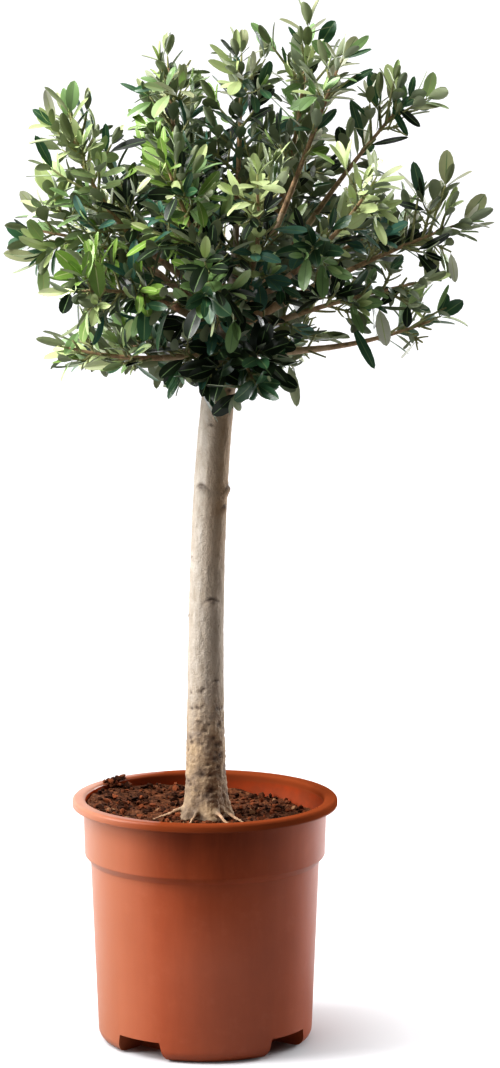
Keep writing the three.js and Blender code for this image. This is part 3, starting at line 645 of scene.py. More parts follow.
LIMBS = [dict(zip(LIMB_SIZES, row), name=name) for name, row in LIMB_ROWS.items()]
UP = np.array((0.0, 0.0, 1.0))
BACK = np.array((0.0, 1.0, 0.0))


# %% Curves
STEEP = 0.8  # curves that rise more than this measure their turn from the back, not from above
LENGTH_STEPS = 20


def unit(vector):
    return vector / np.linalg.norm(vector)


def point_on(curve, share):
    a, b, c = curve
    return (1 - share) ** 2 * a + 2 * share * (1 - share) * b + share**2 * c


def heading_on(curve, share):
    a, b, c = curve
    return unit((1 - share) * (b - a) + share * (c - b))


def cross_axes(curve, share):
    chord = unit(curve[2] - curve[0])
    heading = heading_on(curve, share)
    side = unit(np.cross(heading, BACK if abs(chord[2]) > STEEP else UP))
    return side, np.cross(side, heading)


def run_of(curve, steps):
    return np.array([point_on(curve, share) for share in np.linspace(0, 1, steps + 1)])


def length_of(curve):
    return np.linalg.norm(np.diff(run_of(curve, LENGTH_STEPS), axis=0), axis=1).sum()


def trunk_axis(height):
    share = max((height - TRUNK["lean_from"]) / (TRUNK["top"] - TRUNK["lean_from"]), 0)
    return np.array((TRUNK["foot_x"] + TRUNK["lean"] * share ** TRUNK["lean_power"], 0.0, height))


def trunk_radius(height):
    up = height - TRUNK["foot"]
    share = up / (TRUNK["top"] - TRUNK["foot"])
    swell = TRUNK["swell"] * math.exp(-up / TRUNK["swell_height"])
    flare = TRUNK["flare"] * math.exp(-up / TRUNK["flare_height"])
    return TRUNK["radius"] - TRUNK["taper"] * share**4 + swell + flare


def step_from(point, turn, reach, rise):
    angle = math.radians(turn)
    return point + np.array((math.cos(angle) * reach, math.sin(angle) * reach, rise))


def stem_end(start, row, short=TIP_LEAF):
    tip = step_from(start, row["leaf_turn"], row["leaf_reach"], row["leaf_rise"])
    return tip + (start - tip) * short / np.linalg.norm(tip - start)


def straight(start, end):
    return (start, (start + end) / 2, end)


def add_curves(row):
    """The bough's curve and its foot radius, and the curve of the foliage stem that grows on from it."""
    fork = trunk_axis(row["fork"])
    if not row["reach"]:
        end = stem_end(fork, row)
        root = step_from(fork, row["leaf_turn"], trunk_radius(row["fork"]) - STEM["sunk"], 0)
        row["stem"] = (root, (root + end) / 2 + UP * row["spread"] * STEM["lift"], end)
        row["leader"] = straight(end, stem_end(fork, row, LEADER_LEAF - LONGER.get(row["name"], 0)))
        return
    tip = step_from(fork, row["turn"], row["reach"], row["rise"])
    middle = (fork + tip) / 2 + UP * row["arch"] * 2
    bare = point_on((fork, middle, tip), BOUGH["leafless"])
    row["bough"] = (fork, fork + (middle - fork) * BOUGH["leafless"], bare)
    heading = heading_on(row["bough"], 1)
    start, end = bare + heading * GAP, stem_end(tip, row)
    row["stem"] = (start, start + heading * np.linalg.norm(end - start) * STEM["run_on"], end)
    row["leader"] = straight(end, stem_end(tip, row, LEADER_LEAF - LONGER.get(row["name"], 0)))
    row["foot_radius"] = BOUGH["thinnest"] + BOUGH["thicken"] * length_of(row["bough"])


for row in LIMBS:
    add_curves(row)
BOUGHS = [row for row in LIMBS if "bough" in row]
print(len(LIMBS), "masses of foliage on", len(BOUGHS), "boughs")

# %% [markdown]
# ## Stem and boughs
# On the real plant the boughs swell out of the stem with collars, and the foot runs out into surface roots.
# Each limb starts as a cone operator's tube with cut rings, moved onto its curve. A voxel remesh then melts
# stem, roots and boughs into one skin, and the bark's relief is pressed into that: long shallow folds, knots
# where side shoots were pruned, and rough scars low down.

# %% Tubes moved onto curves
ROOTS = {"radius": 3.0, "tip": 0.9, "taper": 0.6, "rise": 7, "start": 2, "shoulder": 0.6,
         "shoulder_reach": 0.55}
ROOT_RUNS = ((198, 42), (248, 33), (297, 41), (322, 36), (75, 36), (140, 32))
KNOTS = (  # height, turn, size, rise
    (401, 238, 4.4, 1.3), (400, 348, 4.2, 2.2), (387, 330, 2.8, 1.2), (319, 288, 4.6, 1.1),
    (351, 203, 1.7, 0.7), (309, 192, 1.8, 0.8), (262, 305, 2.6, 0.9), (446, 255, 2.0, 0.5),
    (430, 120, 4.2, 1.6), (345, 70, 4.4, 1.5), (280, 150, 3.6, 1.2), (240, 60, 3.6, 1.2),
    (470, 310, 2.6, 0.8), (232, 250, 3.2, 0.9))
SCARS = (  # height, turn, size
    (243, 312, 2.6), (231, 317, 2.8), (217, 309, 3.2), (207, 300, 3.3), (209, 320, 2.6), (222, 296, 2.2),
    (185, 286, 3.0), (181, 272, 2.4), (196, 262, 2.2), (236, 150, 3.0), (214, 110, 2.8), (205, 30, 3.0))
SCAR_RISE = -0.8
PITS = {"count": 70, "low": 178, "high": 272, "lower": 1.5, "smallest": 0.9, "largest": 2.2, "depth": 0.55,
        "seed": 9}
TUBE_CUTS = {"stem": (90, 32), "root": (8, 10), "bough": (10, 10)}  # rings along a tube, and sides round it
VOXEL = 0.95


def add_tube(bm, rings, sides, move):
    """A closed tube from the cone operator, cut into rings; move gives a place for a turn and a share."""
    for v in bm.verts:
        v.tag = True
    made = bmesh.ops.create_cone(bm, cap_ends=True, segments=sides, radius1=1, radius2=1, depth=1)["verts"]
    upright = {e for v in made for e in v.link_edges if abs(e.verts[0].co.z - e.verts[1].co.z) > 0.5}
    bmesh.ops.subdivide_edges(bm, edges=list(upright), cuts=rings - 1, use_grid_fill=True)
    for v in bm.verts:
        if not v.tag:
            v.co = move(v.co.x, v.co.y, v.co.z + 0.5)


def along(curve, radius_at):
    def move(x, y, share):
        side, front = cross_axes(curve, share)
        radius = radius_at(share)
        return point_on(curve, share) + side * x * radius + front * y * radius
    return move


def stem_place(x, y, share):
    height = TRUNK["foot"] + (TRUNK["top"] - TRUNK["foot"]) * share
    flare = math.exp(-(height - TRUNK["foot"]) / TRUNK["flare_height"])
    lobes = 1 + TRUNK["lobe_depth"] * flare * math.cos(TRUNK["lobes"] * math.atan2(y, x))
    past = max((share - TRUNK["round_from"]) / TRUNK["round_over"], 0)
    rounded = math.sqrt(max(1 - past**2 * TRUNK["round_depth"], 0))
    radius = trunk_radius(height) * lobes * rounded
    return trunk_axis(height) + np.array((x * radius, y * radius, 0))


def root_curve(turn, reach):
    high = trunk_axis(TRUNK["foot"] + ROOTS["rise"] * ROOTS["start"])
    low = trunk_axis(TRUNK["foot"])
    middle = trunk_axis(TRUNK["foot"] + ROOTS["rise"] * ROOTS["shoulder"])
    return high, step_from(middle, turn, reach * ROOTS["shoulder_reach"], 0), step_from(low, turn, reach, 0)


def root_radius(share):
    return ROOTS["radius"] + (ROOTS["tip"] - ROOTS["radius"]) * share ** ROOTS["taper"]


def bough_radius(row):
    def radius_at(share):
        collar = BOUGH["collar"] * math.exp(-share / BOUGH["collar_share"])
        return row["foot_radius"] + (BOUGH["tip"] - row["foot_radius"]) * share + collar + BOUGH["skin"]
    return radius_at


bm = bmesh.new()
add_tube(bm, *TUBE_CUTS["stem"], stem_place)
for turn, reach in ROOT_RUNS:
    add_tube(bm, *TUBE_CUTS["root"], along(root_curve(turn, reach), root_radius))
for row in BOUGHS:
    add_tube(bm, *TUBE_CUTS["bough"], along(row["bough"], bough_radius(row)))
bmesh.ops.bisect_plane(bm, geom=bm.verts[:] + bm.edges[:] + bm.faces[:], dist=SAME_SPOT,
                       plane_co=(0, 0, TRUNK["foot"] - TRUNK["sunk"]), plane_no=(0, 0, -1), clear_outer=True)
bmesh.ops.holes_fill(bm, edges=[e for e in bm.edges if e.is_boundary], sides=0)
wood_mesh = mesh_with("wood", mesh_from(bm, "limbs"), ("REMESH", {"mode": "VOXEL", "voxel_size": VOXEL}))
print("stem, roots and boughs melted into", len(wood_mesh.polygons), "faces")


# %% Bark relief
RELIEF = {  # sizes across and up, falloff and layers of each kind of noise
    "folds": (6, 16, 0.8, 3), "rough": (2.6, 3.0, 0.8, 2), "rings": (8, 1.9, 0.7, 2)}
RISE = {  # how high each stands; a pair is the rise on clean bark, and what wear adds to it
    "folds": 0.26, "rough": (0.08, 0.42), "rings": (0.05, 0.22), "less_on_limbs": 0.5}
WORN = {"height": 238, "wander": 14, "patch": 6, "slice": 1.7, "fade": 11}
# painted shade: how the side of the stem turned from the left lamp is made browner, by facing and height
SHADE_SIDE = {"toward": Vector((0.8, -0.5, 0)), "gain": 1.3, "less": 0.1, "from": 250, "over": 140, "least": 0.4}
MARKED = {"limbs_from": 470, "limb_gap": 1, "knots_to": 480, "reach": 2.6, "roots_to": 200, "root_gap": 2.5,
          "fade": 4}
SCAR = {"wide": 1.2, "brow_up": 0.75, "brow_arch": 0.4, "brow_thick": 0.28, "brow_wide": 1.1, "dent": 0.75,
        "core": 0.8, "core_wide": 0.7, "core_up": 0.35, "core_high": 0.4, "pit_wide": 0.9, "pit_high": 0.7}
SMOOTHING = 3


def clamp(value, least=0, most=1):
    return min(max(value, least), most)


def on_bark(height, turn):
    return step_from(trunk_axis(height), turn, trunk_radius(height), 0)


def scar_spots():
    """Knots, scars and, low on the stem, many small pits: each a place, a size, a rise and a crease."""
    spots = [(on_bark(height, turn), size, rise, 1.0) for height, turn, size, rise in KNOTS]
    spots += [(on_bark(height, turn), size, SCAR_RISE, 0.0) for height, turn, size in SCARS]
    draw = np.random.default_rng(PITS["seed"])
    for _ in range(PITS["count"]):
        height = PITS["low"] + (PITS["high"] - PITS["low"]) * draw.uniform() ** PITS["lower"]
        size = draw.uniform(PITS["smallest"], PITS["largest"])
        spots.append((on_bark(height, draw.uniform(0, 360)), size, -PITS["depth"], 0.0))
    return [(Vector(spot), size, rise, crease) for spot, size, rise, crease in spots]


def relief(kind, x, y, z):
    across, up, falloff, layers = RELIEF[kind]
    return noise.fractal(Vector((x / across, y / across, z / up)), falloff, FINER, layers)


def scar_shape(offset, size, rise, crease):
    """What one scar does to a point near it: a swelling, the dent under a knot's brow, and a dark mark."""
    across = math.hypot(offset.x, offset.y) / size
    up = offset.z / size
    swelling = rise * math.exp(-(across / SCAR["wide"]) ** 2 - up**2)
    if not crease:
        return swelling, 0.0, math.exp(-(across / SCAR["pit_wide"]) ** 2 - (up / SCAR["pit_high"]) ** 2)
    arched = (up - SCAR["brow_up"] + SCAR["brow_arch"] * across**2) / SCAR["brow_thick"]
    brow = math.exp(-(arched**2) - (across / SCAR["brow_wide"]) ** 2)
    raised = (up - SCAR["core_up"]) / SCAR["core_high"]
    core = SCAR["core"] * math.exp(-(across / SCAR["core_wide"]) ** 2 - raised**2)
    return swelling, SCAR["dent"] * crease * brow, max(brow, core)


# %% Press the relief into the bark
def bark_marks(v):
    """How far a point lies on a bough, on the worn foot and on a root, each from 0 to 1."""
    x, y, z = v.co
    off = math.hypot(x - trunk_axis(z)[0], y) - trunk_radius(z)
    wander = noise.noise(Vector((x / WORN["patch"], y / WORN["patch"], WORN["slice"])))
    limb = clamp((off - MARKED["limb_gap"]) / MARKED["fade"]) if z > MARKED["limbs_from"] else 0
    worn = 1 / (1 + math.exp((z - WORN["height"] + WORN["wander"] * wander) / WORN["fade"]))
    root = clamp((off - MARKED["root_gap"]) / MARKED["fade"]) if z < MARKED["roots_to"] else 0
    return limb, worn, root


# painted shade on the side of the stem turned from the left lamp, less of it low down
def shade_side_of(v, height):
    toward = SHADE_SIDE["gain"] * v.normal.dot(SHADE_SIDE["toward"]) - SHADE_SIDE["less"]
    return clamp(toward) * clamp((height - SHADE_SIDE["from"]) / SHADE_SIDE["over"], SHADE_SIDE["least"])


def press_bark(mesh):
    bm = bmesh.new()
    bm.from_mesh(mesh)
    for _ in range(SMOOTHING):
        bmesh.ops.smooth_vert(bm, verts=bm.verts, factor=0.5,
                              use_axis_x=True, use_axis_y=True, use_axis_z=True)
    bm.normal_update()
    spots = scar_spots()
    # brown marks the painted shade side of the stem
    marks = {"scar": [], "limb": [], "worn": [], "brown": [], "root": []}
    for v in bm.verts:
        x, y, z = v.co
        limb, worn, root = bark_marks(v)
        rough, rings = (low + more * worn for low, more in (RISE["rough"], RISE["rings"]))
        move = RISE["folds"] * relief("folds", x, y, z) + rough * relief("rough", x, y, z)
        move = (move + rings * relief("rings", x, y, z)) * (1 - RISE["less_on_limbs"] * limb)
        mark = 0.0
        for spot, size, rise, crease in spots if z < MARKED["knots_to"] else ():
            offset = v.co - spot
            if offset.length < MARKED["reach"] * size:
                swelling, dent, dark = scar_shape(offset, size, rise, crease)
                move = move + swelling - dent
                mark = max(mark, dark)
        v.co += v.normal * move
        for kind, value in zip(marks, (min(mark, 1), limb, worn, shade_side_of(v, z), root)):
            marks[kind].append(value)
    bm.to_mesh(mesh)
    bm.free()
    for name, values in marks.items():
        mesh.attributes.new(name, "FLOAT", "POINT").data.foreach_set("value", np.array(values, np.float32))
    print("bark relief pressed with", len(spots), "knots, scars and pits")


press_bark(wood_mesh)

# %% [markdown]
# Young olive bark is smooth and pale, beige to grey, with fine upright streaks, small corky dots and darker
# scars. It is browner on the boughs, and rough and brown near the ground. The side of the stem turned from
# the left lamp is painted browner and darker, as shade. Five values stored on the mesh say where the scars,
# boughs, worn foot, painted shade side and roots are, because a mask from noise alone could not find them.
# Stretched mottle gives the streaks.

# %% Bark finish
# the brown tones are painted shade on the stem's side turned from the left lamp
BARK_TONES = {  # the dark and the light of each kind's streaks or patches
    "stem": ((152, 141, 127), (195, 187, 177)), "brown": ((126, 97, 65), (170, 139, 103)),
    "worn": ((102, 79, 57), (174, 147, 112)), "limb": ((158, 130, 102), (214, 188, 158)),
    "root": ((150, 116, 88), (206, 172, 140))}
PATCH_TONE = (150, 136, 118)
DOT_TONE = (112, 94, 76)
SCAR_TONE = (58, 40, 29)
bark_finish, tree, shader = new_material("olive_bark", (164, 148, 128), roughness=0.8)
where = object_place(tree)
streaks = mottle(tree, stretched(tree, where, across=1.0, along=0.35), scale=240.0, low=0.25, high=0.75)
patches = mottle(tree, where, scale=75.0, low=0.36, high=0.66)
dots = mottle(tree, stretched(tree, where, across=1.0, along=1.9), scale=480.0, low=0.58, high=0.7)


def mark(name):
    return add(tree, "ShaderNodeAttribute", attribute_name=name).outputs["Fac"]


def two_tones(name, mask):
    return blend_colors(tree, mask, *BARK_TONES[name])


# the brown layer is painted shade; the others are the bark's own colours
bark_layers = (  # a mask, its share, and what it lays over the tones before it
    (mark("brown"), 0.9, two_tones("brown", streaks)), (patches, 0.5, PATCH_TONE), (dots, 0.35, DOT_TONE),
    (mark("worn"), 0.8, two_tones("worn", patches)), (mark("limb"), 1.0, two_tones("limb", streaks)),
    (mark("root"), 1.0, two_tones("root", streaks)), (mark("scar"), 0.92, SCAR_TONE))
tone = two_tones("stem", streaks)
for mask, share, over in bark_layers:
    tone = blend_colors(tree, times(tree, mask, share), tone, over)
tree.links.new(tone, shader.inputs["Base Color"])
ridges = math_of(tree, "ADD", streaks, grain(tree, where, scale=700.0, pits=0.5))
add_bump(tree, shader, ridges, strength=0.5, depth=0.7)
finish_piece("stem_and_boughs", wood_mesh, [bark_finish],
             ["trunk", *("bough_" + row["name"] for row in BOUGHS)], crease=70)

# %% [markdown]
# ## How the crown grows
# The solids' rule is written again here with the same random source and seeds, so the main twigs leave each
# stem where they do in the solids. It is then carried on to finer shoots. Olive leaves stand in opposite
# pairs, each next pair turned by a quarter, and shoots follow the same order from the leaf axils.

# %% The random source and room to grow
TWIG = {"pairs": 2, "first": 0.25, "last": 0.75, "angle": 52, "angle_spread": 20, "roll_spread": 50,
        "shorten": 0.45, "length_spread": 0.4, "lift": 0.16, "tries": 6, "seed": 100,
        "steps": 6, "clear_from": 2}
CLEAR = {"space": 0.75, "limb": 0.9, "stem": 1}
WORD = 0xFFFFFFFF


def random_source(seed):
    state = seed & WORD

    def draw():
        nonlocal state
        state = (state + 0x6D2B79F5) & WORD
        mixed = (state ^ (state >> 15)) * (state | 1) & WORD
        mixed ^= (mixed + ((mixed ^ (mixed >> 7)) * (mixed | 61) & WORD)) & WORD
        return ((mixed ^ (mixed >> 14)) & WORD) / 2**32
    return draw


def away_from(runs, points):
    """Distances from each point to each run of points joined by straight lines."""
    start, step = runs[:, :-1], np.diff(runs, axis=1)
    offset = points[:, None, None] - start[None]
    share = (offset * step).sum(-1) / (step * step).sum(-1)
    nearest = start + np.clip(share, 0, 1)[..., None] * step
    return np.linalg.norm(points[:, None, None] - nearest, axis=-1).min(-1)


RUN_STEPS = 8
LAST_BEND = 50  # how far under its top the stem bends most
STEM_RUNS = np.array([run_of(row["stem"], RUN_STEPS) for row in LIMBS])
BOUGH_RUNS = np.array([run_of(row["bough"], RUN_STEPS) for row in BOUGHS])
BOUGH_FEET = np.array([row["foot_radius"] for row in BOUGHS])
TRUNK_STOPS = (TRUNK["foot"], (TRUNK["foot"] + TRUNK["top"]) / 2, TRUNK["top"] - LAST_BEND, TRUNK["top"])
TRUNK_RUN = np.array([[trunk_axis(height) for height in TRUNK_STOPS]])


def in_own_space(index, points, spare=0.0):
    distances = away_from(STEM_RUNS, points)
    own = distances[:, index] + 2 * CLEAR["space"] - spare
    return bool((np.delete(distances, index, axis=1) > own[:, None]).all())


def off_the_wood(points):
    if (away_from(TRUNK_RUN, points) < TRUNK["radius"] + CLEAR["limb"] + CLEAR["stem"]).any():
        return False
    return bool((away_from(BOUGH_RUNS, points) > BOUGH_FEET + CLEAR["limb"]).all())


def turned_out(curve, share, roll, angle):
    side, front = cross_axes(curve, share)
    heading = heading_on(curve, share)
    out = side * math.cos(roll) + front * math.sin(roll)
    return heading * math.cos(angle) + out * math.sin(angle), heading, out


print("room is kept clear of", len(STEM_RUNS), "stems and", len(BOUGH_RUNS), "boughs")


# %% Main twigs, as in the solids
def main_twigs(index, row):
    draw = random_source(TWIG["seed"] + index)
    twigs = []
    for pair in range(TWIG["pairs"]):
        share = TWIG["first"] + (TWIG["last"] - TWIG["first"]) * pair / (TWIG["pairs"] - 1)
        start = point_on(row["stem"], share)
        for half in (0, 180):
            for attempt in range(TWIG["tries"]):
                roll = math.radians(pair * 90 + half + TWIG["roll_spread"] * (draw() - 0.5) * (attempt + 1))
                angle = math.radians(TWIG["angle"] + TWIG["angle_spread"] * (draw() - 0.5))
                size = row["spread"] * (1 - TWIG["shorten"] * share)
                length = size * (1 + TWIG["length_spread"] * (draw() - 0.5))
                way = turned_out(row["stem"], share, roll, angle)[0]
                end = start + way * length + UP * length * TWIG["lift"]
                curve = straight(start, end)
                outer = run_of(curve, TWIG["steps"])[TWIG["clear_from"]:]
                if in_own_space(index, outer) and off_the_wood(outer):
                    twigs.append((curve, share))
                    break
    return twigs


for index, row in enumerate(LIMBS):
    row["twigs"] = main_twigs(index, row)
print(sum(len(row["twigs"]) for row in LIMBS), "main twigs")

# %% [markdown]
# ## Finer shoots
# Between the main twigs the stem bears shorter side shoots, and each twig bears a few of its own. A rule with
# random turns grows them, and one that would run into another limb is left out. A few shoots stand out in
# the plant's outline, so these are given by their tips instead. Every shoot is kept in a list with its curve,
# thickness and kind, and later becomes a thin tube with leaves.

# %% Shoots from stems, twigs and boughs
HABIT = {  # limbs that differ: share of the stem without leaves, leaf size and breadth, side shoots, shade
    "upper_right": {"bare": 0.36, "reach": 1.2}, "low_right": {"bare": 0.45}, "low_left": {"bare_tip": True},
    "top_right": {"bare": 0.25}, "right_arm": {"bare": 0.15},
    "under_front": {"size": 1.2, "broad": 1.35, "dark": True},
    "under_left": {"size": 1.15, "broad": 1.35, "dark": True},
    "front_low": {"size": 1.1, "broad": 1.15}, "top_left": {"reach": 1.35}, "top_middle": {"reach": 1.5},
    "spire": {"reach": 1.2}, "front_high": {"reach": 1.35}, "front_right": {"reach": 1.3},
    "left_shoulder": {"reach": 1.5}, "back_top_left": {"reach": 1.3}, "back_top_right": {"reach": 1.3}}
FINE = {"stem_shares": (0.1, 0.4, 0.58, 0.9), "twig_shares": (0.36, 0.66), "angle": 50, "angle_spread": 26,
        "roll_first": 45, "roll_spread": 35, "stem_length": 0.62, "twig_length": 0.55, "shorten": 0.35,
        "length_range": (0.7, 1.25), "least": 9, "lift": 0.2, "bend": 0.12, "sway": 0.1, "spare": 9.0,
        "tries": 4, "seed": 3000, "steps": 4, "clear_from": 2}
INNER = {"shares": (0.52, 0.78), "roll_first": 30, "roll_spread": 40, "angles": (45, 70), "foot": 1.5,
         "length": 22, "length_range": (0.6, 1.3), "lift": 0.15, "bough_clear": 1.5, "stem_clear": 15,
         "steps": 4, "clear_from": 3}


def habit_of(row):
    return HABIT.get(row["name"], {})


def fine_shoots(index, row, parent, shares, length_share, draw):
    """Opposite pairs of side shoots at some shares of a stem or twig, each where it finds room."""
    shoots = []
    base = row["spread"] if parent is row["stem"] else length_of(parent)
    for count, share in enumerate(shares):
        start = point_on(parent, share)
        for half in (0, 180):
            for _ in range(FINE["tries"]):
                turn = draw.uniform(-FINE["roll_spread"], FINE["roll_spread"])
                roll = math.radians(count * 90 + FINE["roll_first"] + half + turn)
                angle = math.radians(FINE["angle"] + FINE["angle_spread"] * draw.uniform(-0.5, 0.5))
                way, _, out = turned_out(parent, share, roll, angle)
                length = base * length_share * (1 - FINE["shorten"] * share)
                length = max(length * draw.uniform(*FINE["length_range"]), FINE["least"])
                length *= habit_of(row).get("reach", 1)
                end = start + unit(way + UP * FINE["lift"]) * length
                curve = (start, (start + end) / 2 + out * length * FINE["bend"], end)
                outer = run_of(curve, FINE["steps"])[FINE["clear_from"]:]
                if in_own_space(index, outer, FINE["spare"]) and off_the_wood(outer):
                    shoots.append(curve)
                    break
    return shoots


def inner_shoots(row, draw):
    """Short shady shoots from the bough itself, which close the crown's middle."""
    shoots = []
    for count, share in enumerate(INNER["shares"]):
        for half in (0, 180):
            turn = draw.uniform(-INNER["roll_spread"], INNER["roll_spread"])
            roll = math.radians(count * 90 + INNER["roll_first"] + half + turn)
            angle = math.radians(draw.uniform(*INNER["angles"]))
            way, _, out = turned_out(row["bough"], share, roll, angle)
            start = point_on(row["bough"], share) + out * INNER["foot"]
            length = INNER["length"] * draw.uniform(*INNER["length_range"])
            curve = straight(start, start + unit(way + UP * INNER["lift"]) * length)
            far = run_of(curve, INNER["steps"])[INNER["clear_from"]:]
            off_boughs = (away_from(BOUGH_RUNS, far) > BOUGH_FEET + INNER["bough_clear"]).all()
            if off_boughs and (away_from(TRUNK_RUN, far) > INNER["stem_clear"]).all():
                shoots.append(curve)
    return shoots


# %% Grow the shoots
RADIUS = {"stem": (2.2, 0.95), "twig": (1.15, 0.7), "fine": (0.8, 0.5), "tip": (0.95, 0.55),
          "inner": (0.9, 0.55)}
EXTRA_FORM = {"steps": 20, "earlier": 4, "forward": 6, "run_on": 2, "lift": 1.5}
EXTRA = (  # side shoots that stand out in the outline: limb, and the tip seen from the front, x and z
    ("right_arm", 169, 616), ("right_arm", 150, 608), ("right_arm", 162, 573), ("top_left", -38, 676),
    ("top_left", -40, 656), ("spire", 92, 704), ("top_right", 105, 694), ("upper_right", 116, 672),
    ("upper_right", 156, 676), ("left_shoulder", -92, 668), ("left_shoulder", -64, 646),
    ("spire", 48, 712), ("upper_right", 133, 688), ("low_right", 171, 528))


def extra_shoot(row, x, z):
    """A shoot from the nearest part of the limb's stem, leaning on along it, to a given tip."""
    run = run_of(row["stem"], EXTRA_FORM["steps"])
    nearest = int(np.hypot(run[:, 0] - x, run[:, 2] - z).argmin())
    start = run[max(nearest - EXTRA_FORM["earlier"], 1)]
    end = np.array((x, start[1] - EXTRA_FORM["forward"], z))
    middle = (start + end) / 2 + unit(end - start) * EXTRA_FORM["run_on"] + UP * EXTRA_FORM["lift"]
    return start, middle, end


def grow_shoots(index, row):
    draw = np.random.default_rng(FINE["seed"] + index)
    bare = habit_of(row).get("bare", 0)
    found = [("tip", row["leader"]), ("stem", row["stem"])]
    shares = [share for share in FINE["stem_shares"] if share >= bare]
    for curve in fine_shoots(index, row, row["stem"], shares, FINE["stem_length"], draw):
        found.append(("twig", curve))
    for (start, middle, end), share in row["twigs"]:
        if share < bare:
            continue
        sway = np.cross(end - start, UP) * draw.uniform(-FINE["sway"], FINE["sway"])
        curve = (start, middle + sway, end)
        found.append(("twig", curve))
        for finer in fine_shoots(index, row, curve, FINE["twig_shares"], FINE["twig_length"], draw):
            found.append(("fine", finer))
    if "bough" in row:
        found += [("inner", curve) for curve in inner_shoots(row, draw)]
    found += [("twig", extra_shoot(row, x, z)) for name, x, z in EXTRA if name == row["name"]]
    return [{"curve": curve, "kind": kind, "mass": index, "radius": RADIUS[kind]} for kind, curve in found]


SHOOTS = [shoot for index, row in enumerate(LIMBS) for shoot in grow_shoots(index, row)]
print(len(SHOOTS), "shoots")

# %% [markdown]
# ## Leaves
# A leaf is 13 to 34 mm long, a long ellipse with a rounded tip, dark and glossy above and pale beneath. Old
# leaves spread wide, and young ones at a shoot's tip stand upright in a tuft. Scattering leaves at random
# would be quicker, but they would cut through each other. So each is tried first: one that would cut through
# another, hide an open limb, or close one of the gaps where sky shows through is left out.

# %% Where leaves may stand
LEAF = {"length": 23, "spread": 0.17, "shortest": 13, "longest": 34, "end_size": 0.86, "middle_size": 0.2,
        "width": 0.33, "width_range": (0.78, 1.22), "apart": 7.2, "last": 0.985,
        "bare": {"stem": 0.14, "twig": 0.2, "fine": 0.25, "tip": 0.3, "inner": 0.3},
        "old_angle": 52, "young_angle": 28, "angle_spread": 24, "roll_spread": 50, "tries": 3, "seed": 5000,
        "up_turn": 0.45, "young_turn": 0.5, "young_lift": 0.08, "old_lift": -0.05, "proud": 6}
TUFT = {"pairs": ((0.99, 0.95, 22), (1.0, 0.68, 12)),  # share along the shoot, size, angle
        "roll_spread": 20, "angle_spread": 8, "length_range": (0.8, 1.15), "narrower": 0.85}
SKY = (  # gaps in and round the crown, seen from the front: x, z, half width, half height
    (159, 647, 24, 20), (170, 536, 14, 9), (90, 524, 15, 11), (-103, 521, 14, 9), (-66, 673, 12, 14),
    (20, 581, 6, 10), (-27, 558, 6, 6), (118, 712, 9, 16), (-60, 694, 9, 20), (-86, 474, 19, 10),
    (-53, 474, 16, 8), (-10, 464, 9, 8), (43, 450, 20, 13), (92, 485, 22, 12), (160, 489, 17, 15),
    (184, 566, 11, 12), (-5, 712, 8, 13), (92, 664, 7, 12), (53, 712, 5, 10), (131, 634, 7, 7),
    (132, 549, 9, 4), (147, 558, 5, 11), (129, 520, 6, 8), (136, 657, 10, 7), (128, 652, 7, 8),
    (82, 695, 4, 7), (80, 501, 12, 5), (166, 510, 14, 6))
OUTLINE = np.array(((0, 0), (0.25, 0.42), (0.55, 0.5), (0.85, 0.36),
                    (1, 0), (0.85, -0.36), (0.55, -0.5), (0.25, -0.42)))
SPINE = np.array(((0.3,), (0.6,), (0.9,)))
EYE = np.array(camera.location) / MM
LOWEST = np.array(cad_low) / MM - LEAF["proud"]
HIGHEST = np.array(cad_high) / MM + LEAF["proud"]


def seen_flat(points):
    """Points carried along the line of sight to the upright plane y = 0."""
    share = EYE[1] / (EYE[1] - points[:, 1])
    return EYE + (points - EYE) * share[:, None]


OPEN = {  # limbs that are seen bare from the front, from one share of their length to another
    "low_left": (0.3, 1.0), "mid_left": (0.25, 0.5), "far_left": (0.3, 0.52), "upper_right": (0.46, 0.92),
    "top_right": (0.45, 0.82), "low_right": (0.42, 1.0), "right_arm": (0.55, 0.95)}
OPEN_CLEAR = 3.0
OPEN_STEPS = 12


def open_run(name, first, last):
    row = next(row for row in LIMBS if row["name"] == name)
    run = np.concatenate([run_of(row["bough"], OPEN_STEPS), run_of(row["stem"], OPEN_STEPS)[1:]])
    run = run[int(first * 2 * OPEN_STEPS):int(last * 2 * OPEN_STEPS) + 1]
    return run[:, 1], seen_flat(run)[:, (0, 2)]


OPEN_RUNS = [open_run(name, *shares) for name, shares in OPEN.items()]


def hides_limb(points):
    """True where a leaf would stand before one of the limbs that are seen bare from the front."""
    flat = seen_flat(points)[:, (0, 2)]
    for depth, run in OPEN_RUNS:
        step = np.diff(run, axis=0)
        offset = flat[:, None] - run[None, :-1]
        share = np.clip((offset * step).sum(-1) / (step * step).sum(-1), 0, 1)
        gap = np.linalg.norm(offset - share[..., None] * step, axis=-1)
        behind = depth[:-1] + share * np.diff(depth)
        if ((gap < OPEN_CLEAR) & (points[:, None, 1] < behind + 1)).any():
            return True
    return False


def in_the_sky(points):
    """True where a point is seen through one of the crown's gaps."""
    flat = seen_flat(points)
    return any((((flat[:, 0] - x) / wide) ** 2 + ((flat[:, 2] - z) / high) ** 2 < 1).any()
               for x, z, wide, high in SKY)


print(len(SKY), "gaps and", len(OPEN_RUNS), "open limbs are kept clear of leaves")


